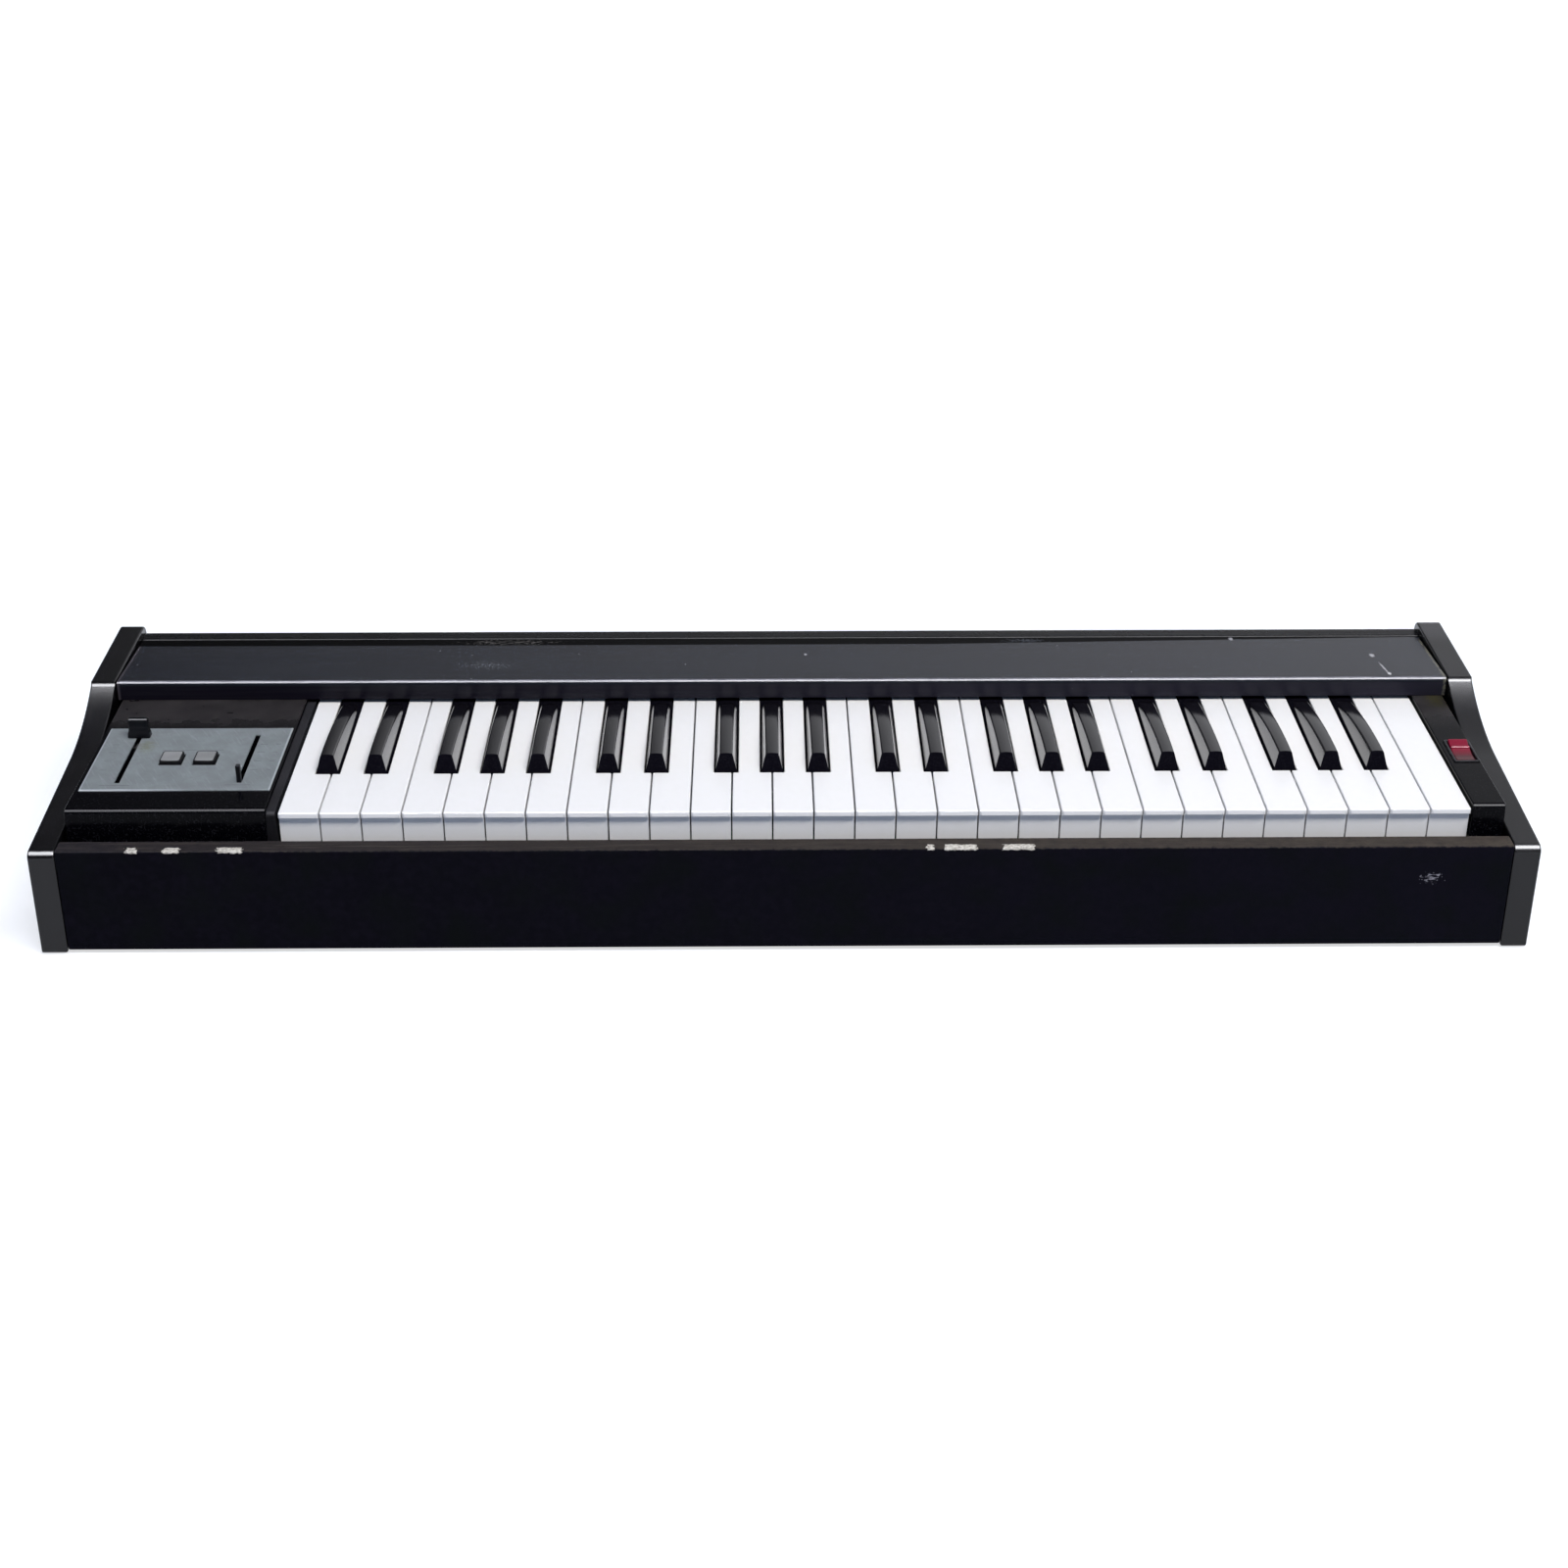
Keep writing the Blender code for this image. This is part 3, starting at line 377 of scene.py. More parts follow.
def covering_vinyl(colour):
    """Vinyl-covered board: embossed leather grain that breaks up the sheen, painted lighter towards the
    right as painted light, worn to brown paper along the top edge, which is painted browner towards the
    right as painted light, chipped to pale board in six places and scuffed once on the face."""
    made, tree, shader, at = finish_named("embossed_covering_vinyl")
    x, y, z = add(tree, "ShaderNodeSeparateXYZ", {0: at}).outputs
    fray = clouds(tree, at, 3.0, 0.3, 0.7, -0.5, 0.5)
    height = add(tree, "ShaderNodeMath", {0: z, 1: fray}, operation="ADD")
    front = add(tree, "ShaderNodeMath", {0: y, 1: fray}, operation="ADD")
    shift = clouds(tree, at, 2.0, 0.3, 0.7, -1.5, 1.5)
    along = add(tree, "ShaderNodeMath", {0: x, 1: shift}, operation="ADD")
    face = layered(
        tree,
        colour,
        # Painted light: the vinyl is painted lighter towards the right, where more light falls
        (within(tree, (x, -420.0, 430.0)), "#0A0A12"),
        (clouds(tree, at, 5.0, 0.4, 0.75), "#0C0B13"),
        (clouds(tree, at, 22.0, 0.45, 0.75), "#07090B"),
    )
    brown = layered(
        tree,
        "#0F0E12",
        # Painted light: the worn brown edge is painted browner and lighter towards the right
        (within(tree, (x, -400.0, 400.0)), "#3D3833"),
        (clouds(tree, at, 6.0, start=0.0, end=0.6), "#201E1F"),
        (clouds(tree, at, (40.0, 2.0, 2.0), 0.5, 0.7, 0.0, 0.6), "#383431"),
    )
    pale = layered(tree, "#9B978F", (clouds(tree, at, 1.6, 0.35, 0.6), "#CFCCC5"))
    tint = layered(tree, face, (within(tree, (height, 66.3, 67.1)), brown))
    # Middle and half length of each chip along the upper front edge
    chips = ((-371.3, 2.5), (-348.5, 3.8), (-315.8, 6.5), (82.0, 1.2), (99.3, 8.5), (132.3, 8.5))
    for centre, half in chips:
        chip = within(
            tree,
            (along, centre - half - 0.8, centre - half),
            (along, centre + half + 0.8, centre + half),
            (front, -121.5, -122.3),
            (height, 65.8, 66.4),
        )
        tint = layered(tree, tint, (chip, pale))
    scuff = near(tree, at, (369.3, -126.2, 46.5), (5.0, 8.0, 3.0), 0.0, 0.9)
    streaks = clouds(tree, at, (4.0, 1.0, 1.0), 0.45, 0.6)
    tint = layered(tree, tint, (within(tree, (scuff, 0.0, 1.0), (streaks, 0.0, 1.0)), "#8C8B94"))
    # Embossed cells about 1.4 mm wide
    cells = add(tree, "ShaderNodeTexVoronoi", {"Vector": at, "Scale": 1 / 1.4})
    skin = {
        "Base Color": tint,
        "Roughness": clouds(tree, at, 30.0, 0.3, 0.7, 0.5, 0.62),
        "Specular IOR Level": 0.02,
        "Normal": add(tree, "ShaderNodeBump", {"Height": cells, "Distance": 0.08 * mm}),
    }
    wire(tree, shader, skin)
    return made


def painted_steel(colour):
    """Stove-painted steel sheet: a satin paint with faint orange peel, painted darker at the left and on
    its front lip as painted shade, paler along its front bend as rubbed paint and a painted highlight,
    with painted highlights along both ends and painted shade at the rear, and with specks, smudges and
    one long scratch."""
    made, tree, shader, at = finish_named("stove_painted_steel")
    x, y, z = add(tree, "ShaderNodeSeparateXYZ", {0: at}).outputs
    paint_and_painted_shade = layered(
        tree,
        "#0C0E16",
        # Painted shade: the paint darkens towards the left end, from x = 150 mm
        (within(tree, (x, -420.0, 150.0)), colour),
        (clouds(tree, at, 60.0, 0.2, 0.9, detail=1.0), "#191D26"),
        # Painted shade: the front lip is painted purple-black, lighter towards the right as painted
        # light
        (within(tree, (z, 94.5, 93.5), (y, 42.0, 41.0)), "#121019"),
        (within(tree, (z, 94.5, 93.5), (y, 42.0, 41.0), (x, -250.0, 150.0)), "#22212B"),
        (clouds(tree, at, (90.0, 3.0, 3.0), 0.4, 0.8, 0.0, 0.4), "#26282C"),
    )
    rubbing = clouds(tree, at, (22.0, 2.5, 2.5), 0.25, 0.6)
    # Painted highlight: the front bend is painted paler, partly rubbed paint and partly the light it
    # catches
    bend = within(tree, (z, 95.6, 96.2), (y, 41.2, 40.4), (rubbing, -0.4, 1.0))
    fray = clouds(tree, at, (2.0, 12.0, 2.0))
    # Painted highlights: pale lines along both ends of the sheet, where its edges catch light
    right_end_highlight = within(tree, (x, 411.5, 412.8), (y, 108.0, 100.0), (fray, 0.1, 0.7))
    left_end_highlight = within(tree, (x, -411.8, -412.9), (y, 108.0, 100.0))
    # The strip of painted shade along the rear narrows from 10 mm to 1 mm on the right half
    limit = add(tree, "ShaderNodeMapRange", {0: x, 1: 100.0, 2: 400.0, 3: 100.0, 4: 109.5})
    behind = add(tree, "ShaderNodeMath", {0: y, 1: limit}, operation="SUBTRACT")
    shaded = within(tree, (behind, -0.6, 0.6))
    strokes = clouds(tree, at, (12.0, 1.5, 1.5), 0.4, 0.7, 0.0, 0.8, 0.3)
    smudge = near(tree, at, (-176.0, 105.5, 92.4), (30.0, 5.0, 6.0), 0.0, 0.7, 0.8)
    specks = add(tree, "ShaderNodeTexVoronoi", {"Vector": at, "Scale": 1 / 14.0})
    tint = layered(
        tree,
        paint_and_painted_shade,
        (bend, "#74747C"),
        (right_end_highlight, "#54534A"),
        (left_end_highlight, "#3C393F"),
        # Painted shade: the strip along the rear is painted near black
        (shaded, "#030304"),
        (within(tree, (smudge, 0.0, 1.0), (strokes, 0.0, 1.0)), "#6E6B69"),
        (within(tree, (specks, 0.045, 0.02)), "#7B7D82"),
    )
    # Two hazes, four chips and the scratch: centre and reach in mm, turn, raggedness, softness
    for centre, reach, turn, ragged, softness, code in (
        ((-186.0, 65.0, 94.5), (16.0, 7.0, 5.0), 0.0, 0.9, 0.9, "#3C3F45"),
        ((157.0, 105.0, 92.5), (14.0, 3.0, 4.0), 0.0, 0.9, 0.9, "#3C3F45"),
        ((291.0, 107.3, 92.5), (2.0, 3.0, 3.0), 0.0, 0.3, 0.4, "#9A9A9F"),
        ((14.5, 82.0, 94.5), (1.2, 2.0, 3.0), 0.0, 0.3, 0.4, "#9A9A9F"),
        ((376.0, 77.0, 95.0), (1.8, 4.2, 3.0), 0.0, 0.2, 0.6, "#A8A8AC"),
        ((378.5, 55.5, 96.0), (0.8, 11.5, 4.0), 0.1, 0.3, 0.5, "#9C9CA0"),
        ((379.6, 46.0, 96.4), (1.3, 2.6, 3.0), 0.0, 0.3, 0.4, "#C4C4C6"),
    ):
        tint = layered(tree, tint, (near(tree, at, centre, reach, turn, ragged, softness), code))
    gloss = clouds(tree, at, 50.0, 0.2, 0.8, 0.2, 0.25, detail=1.0)
    rear = within(tree, (y, 109.0, 110.2))
    worn = within(tree, (z, 97.2, 95.0), (y, 43.0, 41.0))
    rear_and_painted_shade = add(tree, "ShaderNodeMath", {0: rear, 1: shaded}, operation="MAXIMUM")
    dull = add(tree, "ShaderNodeMath", {0: rear_and_painted_shade, 1: worn}, operation="MAXIMUM")
    # A clear coat with orange peel about 2 mm wide, thinned at the rear under the painted shade and by
    # rubbing on the lip
    peel = add(tree, "ShaderNodeBump", {"Height": clouds(tree, at, 2.0), "Distance": 0.02 * mm})
    skin = {
        "Base Color": tint,
        "Roughness": gloss,
        "Specular IOR Level": 0.0,
        "Coat Weight": add(tree, "ShaderNodeMapRange", {0: dull, 3: 0.72, 4: 0.14}),
        "Coat Roughness": 0.22,
        "Normal": peel,
    }
    wire(tree, shader, skin)
    return made


def lacquered_board(name, colour, grain_colour):
    """Black lacquer rubbed onto plywood: matt, with the long grain of the veneer just showing."""
    made, tree, shader, at = finish_named(name)
    # Growth rings about 3 mm apart, drawn out along the board
    grain = clouds(tree, at, (100.0, 3.0, 3.0), 0.35, 0.65, detail=5.0)
    skin = {
        "Base Color": layered(tree, colour, (grain, grain_colour)),
        "Roughness": clouds(tree, at, 12.0, 0.3, 0.7, 0.24, 0.32),
        "Specular IOR Level": 0.06,
        "Normal": add(tree, "ShaderNodeBump", {"Height": grain, "Distance": 0.04 * mm}),
    }
    wire(tree, shader, skin)
    return made


def glossy_abs(colour, dust_and_reflection_colour):
    """Polished black ABS: mirror-like with faint moulding waves, and brown dust where no hand wipes it,
    in the corner behind the switch and behind the plate, where it is also a painted reflection of the
    cover's lip."""
    made, tree, shader, at = finish_named("polished_black_abs")
    _, y, z = add(tree, "ShaderNodeSeparateXYZ", {0: at}).outputs
    film = clouds(tree, at, 9.0, 0.25, 0.75, 0.45, 1.0)
    # Dust and painted reflection: behind the plate the top is painted lighter brown, for dust and the
    # mirrored cover lip
    dust_and_reflection = within(tree, (y, -8.0, 14.0), (z, 83.0, 84.2), (film, 0.0, 1.0))
    corner = near(tree, at, (407.0, 33.0, 84.5), (7.0, 14.0, 3.0), 0.0, 0.6, 0.8)
    waves = clouds(tree, at, 12.0, 0.2, 0.8)
    tint = layered(
        tree,
        colour,
        (dust_and_reflection, dust_and_reflection_colour),
        (corner, "#2A2819"),
        (clouds(tree, at, 0.9, 0.62, 0.7, 0.0, 0.5, 0.0, 1.0), "#2A2A2E"),
    )
    skin = {
        "Base Color": tint,
        "Roughness": add(tree, "ShaderNodeMapRange", {0: dust_and_reflection, 3: 0.14, 4: 0.4}),
        "Specular IOR Level": 0.05,
        "Normal": add(tree, "ShaderNodeBump", {"Height": waves, "Distance": 0.05 * mm}),
    }
    wire(tree, shader, skin)
    return made


def printed_plate(colour):
    """Anodised aluminium plate, matt grey, with cloudy tarnish, thin wipe marks, one ochre stain and
    bright cut edges, lightened further as painted highlights along the sides and the left of the front
    edge."""
    made, tree, shader, at = finish_named("matt_anodised_plate")
    x, y, _ = add(tree, "ShaderNodeSeparateXYZ", {0: at}).outputs
    stain = near(tree, at, (-381.5, -28.0, 85.3), (6.0, 9.0, 9.0), 0.0, 0.5, 0.9)
    tint = layered(
        tree,
        colour,
        (clouds(tree, at, 14.0, 0.35, 0.65), "#71787A"),
        (clouds(tree, at, 4.0, 0.5, 0.75, 0.0, 0.6), "#68696F"),
        (clouds(tree, at, (1.2, 15.0, 1.2), 0.55, 0.75, 0.0, 0.35, 0.5), "#8E9396"),
        (within(tree, (stain, 0.0, 1.6)), "#585B42"),
        # Painted highlights: bright lines along the left of the front edge and along both sides
        (within(tree, (y, -83.7, -84.5), (x, -340.0, -390.0)), "#B4B9BD"),
        (within(tree, (x, -407.4, -408.3)), "#9CA2A6"),
        (within(tree, (x, -299.6, -298.7)), "#9CA2A6"),
    )
    skin = {
        "Base Color": tint,
        "Roughness": clouds(tree, at, 8.0, 0.3, 0.7, 0.4, 0.5),
        "Specular IOR Level": 0.2,
    }
    wire(tree, shader, skin)
    return made


def key_plastic(colour):
    """White keys: moulded acrylic, bright and glossy with a hardly visible ivory cloudiness."""
    made, tree, shader, at = finish_named("white_acrylic")
    skin = {
        "Base Color": layered(tree, colour, (clouds(tree, at, 6.0, 0.0, 1.0), "#EFEFEE")),
        "Roughness": 0.27,
        "IOR": 1.49,
        "Specular IOR Level": 0.5,
    }
    wire(tree, shader, skin)
    return made


def black_key_plastic(colour):
    """Black keys: moulded phenol resin, matt on the front and along the foot, where cleaning cloths
    don't reach, and polished by fingers on the crest and the flanks, which mirror the white keys."""
    made, tree, shader, at = finish_named("black_phenol_resin")
    normal = add(tree, "ShaderNodeNewGeometry", {}).outputs["Normal"]
    _, back, up = add(tree, "ShaderNodeSeparateXYZ", {0: normal}).outputs
    z = add(tree, "ShaderNodeSeparateXYZ", {0: at}).outputs[2]
    polished = within(tree, (z, 83.4, 84.0), (back, -0.35, -0.1))
    crest = within(tree, (up, 0.6, 0.9))
    weight = add(tree, "ShaderNodeMapRange", {0: crest, 3: 1.0, 4: 0.65})
    strokes = clouds(tree, at, (0.8, 13.0, 0.8), 0.5, 0.8, 0.0, 0.5, 0.2)
    skin = {
        "Base Color": layered(tree, colour, (strokes, "#26262C")),
        "Roughness": add(tree, "ShaderNodeMapRange", {0: polished, 3: 0.6, 4: 0.32}),
        "Specular IOR Level": 0.0,
        "Coat Weight": within(tree, (polished, 0.0, 1.0), (weight, 0.0, 1.0)),
        "Coat Roughness": 0.14,
        "Coat IOR": 2.2,
        "Coat Tint": "#F2ECD9",
    }
    wire(tree, shader, skin)
    return made


def plain_metal(name, colour, roughness, streak=1.0):
    """Bare metal with cloudy handling marks and fine drawing lines, whose streaks are in mm."""
    made, tree, shader, at = finish_named(name)
    darker = tuple(part * 0.6 for part in colour[:3]) + (1.0,)
    lines = add(tree, "ShaderNodeBump", {"Height": clouds(tree, at, streak), "Distance": 0.01 * mm})
    skin = {
        "Base Color": layered(tree, colour, (clouds(tree, at, 6.0), darker)),
        "Metallic": 1.0,
        "Roughness": clouds(tree, at, 3.0, 0.3, 0.7, roughness - 0.06, roughness + 0.08),
        "Normal": lines,
    }
    wire(tree, shader, skin)
    return made


def soft_matt(name, colour, second, size, depth, roughness=0.9):
    """Matt fibre or rubber: two close tones in small patches and a pile of the same size."""
    made, tree, shader, at = finish_named(name)
    pile = clouds(tree, at, size, detail=5.0)
    skin = {
        "Base Color": layered(tree, colour, (pile, second)),
        "Roughness": roughness,
        "Specular IOR Level": 0.25,
        "Normal": add(tree, "ShaderNodeBump", {"Height": pile, "Distance": depth * mm}),
    }
    wire(tree, shader, skin)
    return made


def clear_red(colour):
    """Rocker of clear red polycarbonate: a wet gloss, and a front half painted dark red as painted
    shade.
    """
    made, tree, shader, at = finish_named("clear_red_polycarbonate")
    y = add(tree, "ShaderNodeSeparateXYZ", {0: at}).outputs[1]
    skin = {
        # Painted shade: the front half of the rocker is painted dark red
        "Base Color": layered(tree, colour, (within(tree, (y, -38.0, -46.0)), "#45101A")),
        "Roughness": clouds(tree, at, 5.0, 0.3, 0.7, 0.14, 0.22),
        "IOR": 1.58,
        "Specular IOR Level": 0.15,
    }
    wire(tree, shader, skin)
    return made


# Sizes and colours that can be changed


def colour_setting(name, description, code):
    """Colour that can be changed, which starts from its sRGB code."""
    return bpy.props.FloatVectorProperty(
        name=name, description=description, subtype="COLOR", size=4, default=linear(code)
    )


def length_setting(name, description, length):
    """Length that can be changed, in metres."""
    return bpy.props.FloatProperty(
        name=name, description=description, unit="LENGTH", default=length, min=0.0
    )


class CaseLooks(bpy.types.PropertyGroup):
    """Settings of the case"""

    cheek_colour: colour_setting("Cheeks", "Moulded end pieces", "#070709")
    cheek_edge: length_setting("Cheek edge", "Radius of the cheeks' edges", 1.2 * mm)
    board_colour: colour_setting("Front board", "Vinyl covering", "#05050A")
    cover_colour: colour_setting("Cover", "Painted steel cover", "#191B22")
    lacquer_colour: colour_setting("Boards", "Floor and rear board", "#060608")


class ControlLooks(bpy.types.PropertyGroup):
    """Settings of the blocks beside the keys and of the controls"""

    block_colour: colour_setting("Blocks", "Glossy blocks beside the keys", "#030306")
    # Dust on the blocks, which also stands for a painted reflection behind the plate
    dust_and_reflection_colour: colour_setting("Dust", "Dust on the blocks", "#292728")
    plate_colour: colour_setting("Plate", "Grey control plate", "#676C6F")
    print_colour: colour_setting("Marks", "Scale marks beside the sliders", "#4C5156")
    knob_colour: colour_setting("Knob", "Slider knob", "#06070B")
    cap_colour: colour_setting("Button caps", "Grey tops of the buttons", "#6E6F70")
    rocker_colour: colour_setting("Rocker", "Power switch", "#780F2B")


class KeyLooks(bpy.types.PropertyGroup):
    """Settings of the keys"""

    white_colour: colour_setting("White keys", "Acrylic of the white keys", "#F2F2F3")
    white_edge: length_setting("White edge", "Radius of a white key's upper edges", 0.7 * mm)
    black_colour: colour_setting("Black keys", "Resin of the black keys", "#0C0B12")
    black_edge: length_setting("Black edge", "Reach of the rounding on a black key's crest", 1.1 * mm)


class StageLooks(bpy.types.PropertyGroup):
    """Settings of the studio"""

    floor_colour: colour_setting("Floor", "Pale studio floor", "#AEB3BD")
    key_light: bpy.props.FloatProperty(
        name="Key light", description="Wide softbox above and in front, in watts", default=120.0, min=0.0
    )


# Pieces


def cheek_outline():
    """Side view of a cheek: upright front with a quarter circle, an arm that rises at 4.5 degrees, a
    long concave arc and a tight one up to the shoulder, a level top and a round rear corner."""
    low, high = BOX["left_cheek"][:, 1:]
    arm_slope, arm_rear_y = 4.5, -24.5 * mm
    corner_z, radius = 61.9 * mm, 5 * mm
    parts = [np.array([low])]
    parts.append(arc((low[0] + radius, corner_z), radius, 180, 90 + arm_slope, 8))
    y, z = parts[-1][-1]
    y, z = arm_rear_y, z + (arm_rear_y - y) * math.tan(math.radians(arm_slope))
    slope = arm_slope
    for radius, end_slope, steps in ((153.4 * mm, 29.4, 24), (4.5 * mm, 75, 7)):
        turn = math.radians(slope)
        centre = (y - radius * math.sin(turn), z + radius * math.cos(turn))
        curve = arc(centre, radius, slope - 90, end_slope - 90, steps)
        parts.append(curve if slope == arm_slope else curve[1:])
        y, z = curve[-1]
        slope = end_slope
    radius = 6 * mm
    parts.append(arc((high[0] - radius, high[1] - radius), radius, 91, 0, 8))
    parts.append(np.array([[high[0], low[1]]]))
    return np.concatenate(parts)


def cover_outline():
    """Section of the folded cover: its outer line turns on two arcs of 2.5 mm, and the inner line on
    arcs of 1 mm round the same centres, so the sheet is 1.5 mm thick all the way."""
    low, high = BOX["top_cover"][:, 1:]
    bend, thickness = 2.5 * mm, 1.5 * mm
    lip_low, rear_low = 84.9 * mm, 80 * mm
    fall = math.tan(math.radians(COVER_SLOPE))
    drop = bend / math.cos(math.radians(COVER_SLOPE))
    front, rear = low[0] + bend, high[0] - bend
    front_z = COVER_TOP - bend * fall - drop
    rear_z = COVER_TOP - (rear - low[0]) * fall - drop
    lines = []
    for radius in (bend, bend - thickness):
        first = arc((front, front_z), radius, 180, 90 - COVER_SLOPE, 6)
        last = arc((rear, rear_z), radius, 90 - COVER_SLOPE, 0, 6)
        line = [[(front - radius, lip_low)], first, last, [(rear + radius, rear_low)]]
        lines.append(np.concatenate(line))
    return np.concatenate([lines[0], lines[1][::-1]])


def block_line(top):
    """Open side view of a block: up its front, round a quarter circle, back along the top and down."""
    radius = 3 * mm
    turn = arc((KEY_FRONT_Y + radius, top - radius), radius, 180, 90, 6)
    rear = [(BLOCK_REAR_Y, top), (BLOCK_REAR_Y, BLOCK_LOW)]
    return np.concatenate([[(KEY_FRONT_Y, BLOCK_LOW)], turn, rear])


def bent(start, corner, end, share):
    """Quadratic curve (1 - t)(1 - t) start + 2 t (1 - t) corner + t t end, at shares t of its way."""
    return (1 - share) ** 2 * start + 2 * share * (1 - share) * corner + share**2 * end


def outside(xs, ys, windows):
    """Whether each cell between the lines xs and ys lies outside all windows, which are
    (x low, x high, y low, y high)."""
    x, y = (xs[1:] + xs[:-1]) / 2, (ys[1:] + ys[:-1]) / 2
    full = np.ones((len(x), len(y)), bool)
    for x_low, x_high, y_low, y_high in windows:
        full &= ~(((x > x_low) & (x < x_high))[:, None] & ((y > y_low) & (y < y_high)))
    return full


def windowed_block(left, right, ys, windows, wall=3 * mm):
    """Hollow block, open below: the block's line carried along X between rounded ends, with a second
    line one wall further in. ys are extra lines across the top, and each window is an opening."""
    line = block_line(BLOCK_TOP)
    top = np.stack([ys, np.full(len(ys), BLOCK_TOP)], 1)
    line = np.concatenate([line[:-2], top, line[-2:]])
    levels = rounded_levels(left, right, 0.6 * mm, 3)
    xs = np.unique([x for window in windows for x in window[:2]])
    flat = np.stack([np.zeros(len(xs)), xs], 1)
    levels = np.concatenate([levels[:4], flat, levels[4:]])
    outer = np.empty((len(levels), len(line), 3))
    closed_up = line[::-1]
    for ring, (distance, level) in zip(outer, levels):
        ring[:, 0] = level
        ring[:, 1:] = inset(closed_up, distance)[::-1]
        ring[[0, -1], 2] = BLOCK_LOW
    inner = outer.copy()
    inner[:, :, 1:] = inset(closed_up, wall - 0.1 * mm)[::-1]
    inner[:, [0, -1], 2] = BLOCK_LOW
    inner[:, :, 0] = np.clip(levels[:, 1], left + wall, right - wall)[:, None]
    spread = np.linspace(0, 0.4 * mm, 4)
    inner[:4, :, 0] += spread[:, None]
    inner[-4:, :, 0] -= spread[::-1, None]
    on_top = (line[1:, 1] > BLOCK_TOP - 0.01 * mm) & (line[:-1, 1] > BLOCK_TOP - 0.01 * mm)
    full = outside(levels[:, 1], line[:, 0], windows) | ~on_top
    return walled(outer, inner, full, capped=True)


def plate_windows():
    """Openings of the control plate: one per slider and one per button."""
    windows = [(x - SLOT_HALF, x + SLOT_HALF, *SLOT_YS) for x in SLOT_XS.values()]
    for name in ("button_left", "button_right"):
        middle = BOX[name][:, :2].mean(0)
        low, high = middle - BUTTON_WINDOW_HALF, middle + BUTTON_WINDOW_HALF
        windows.append((low[0], high[0], low[1], high[1]))
    return windows


def windowed_plate(windows):
    """Thin plate with openings: a level surface whose outer 0.4 mm falls away as a quarter circle."""
    cosine, sine = quarter(3)
    edge = 0.4 * mm
    reach, fall = edge * (1 - cosine), edge * (1 - sine)
    lines = []
    for axis, low, high in zip((0, 1), *PLATE):
        inner = [value for window in windows for value in window[2 * axis : 2 * axis + 2]]
        lines.append(np.unique(np.concatenate([low + reach, inner, high - reach])))
    x, y = np.meshgrid(*lines, indexing="ij")
    drops = [
        np.interp(line, [line[0], *(line[0] + reach[1:-1]), line[3]], fall)
        + np.interp(line, [line[-4], *(line[-1] - reach[1:-1])[::-1], line[-1]], fall[::-1])
        for line in lines
    ]
    z = PLATE_TOP - np.maximum(drops[0][:, None], drops[1][None])
    outer = np.stack([x, y, z], -1)
    inner = outer.copy()
    inner[..., 2] = BLOCK_TOP - 0.05 * mm
    return walled(outer, inner, outside(*lines, windows))


def white_key_rings(left, right, tail_left, tail_right, edge):
    """Rings of a white key along Y. Each is a rectangle whose upper corners are quarter circles of the
    edge radius; the lip is 3.5 mm thick and overhangs by 2.8 mm, its nose is an ellipse of 1 mm by
    1.4 mm in plan, and the tail's underside has the half circle that sits on the pivot rod."""
    cosine, sine = quarter(5)
    seat = arc(PIVOT, SEAT_RADIUS, 180, 0, 8)
    nose_inset = 1.4 * mm * (1 - sine)
    nose_drop = 0.5 * mm * (1 - sine)
    face = KEY_FRONT_Y + 2.8 * mm
    lip_low = KEY_TOP - 3.5 * mm
    skirt_low = 62 * mm
    thin = 0.02 * mm
    body = np.array(
        [
            (face, left, right, lip_low),
            (face + thin, left, right, skirt_low),
            (HEAD_REAR_Y, left, right, skirt_low),
            (HEAD_REAR_Y + thin, tail_left, tail_right, KEY_TAIL_LOW),
            *((y, tail_left, tail_right, z) for y, z in seat),
            (KEY_TAIL_Y, tail_left, tail_right, KEY_TAIL_LOW),
        ]
    )
    y = np.concatenate([KEY_FRONT_Y + 1 * mm * (1 - cosine), body[:, 0]])[:, None]
    left_x = np.concatenate([left + nose_inset, body[:, 1]])[:, None]
    right_x = np.concatenate([right - nose_inset, body[:, 2]])[:, None]
    low = np.concatenate([lip_low + nose_drop, body[:, 3]])[:, None]
    top = np.concatenate([KEY_TOP - nose_drop, np.full(len(body), KEY_TOP)])[:, None]
    drop = edge * (1 - sine)
    side = edge * (1 - cosine)
    x = np.hstack([left_x, right_x, right_x - side, left_x + side[::-1]])
    z = np.hstack([low, low, top - drop, top - drop[::-1]])
    return np.stack([x, np.broadcast_to(y, x.shape), z], -1)


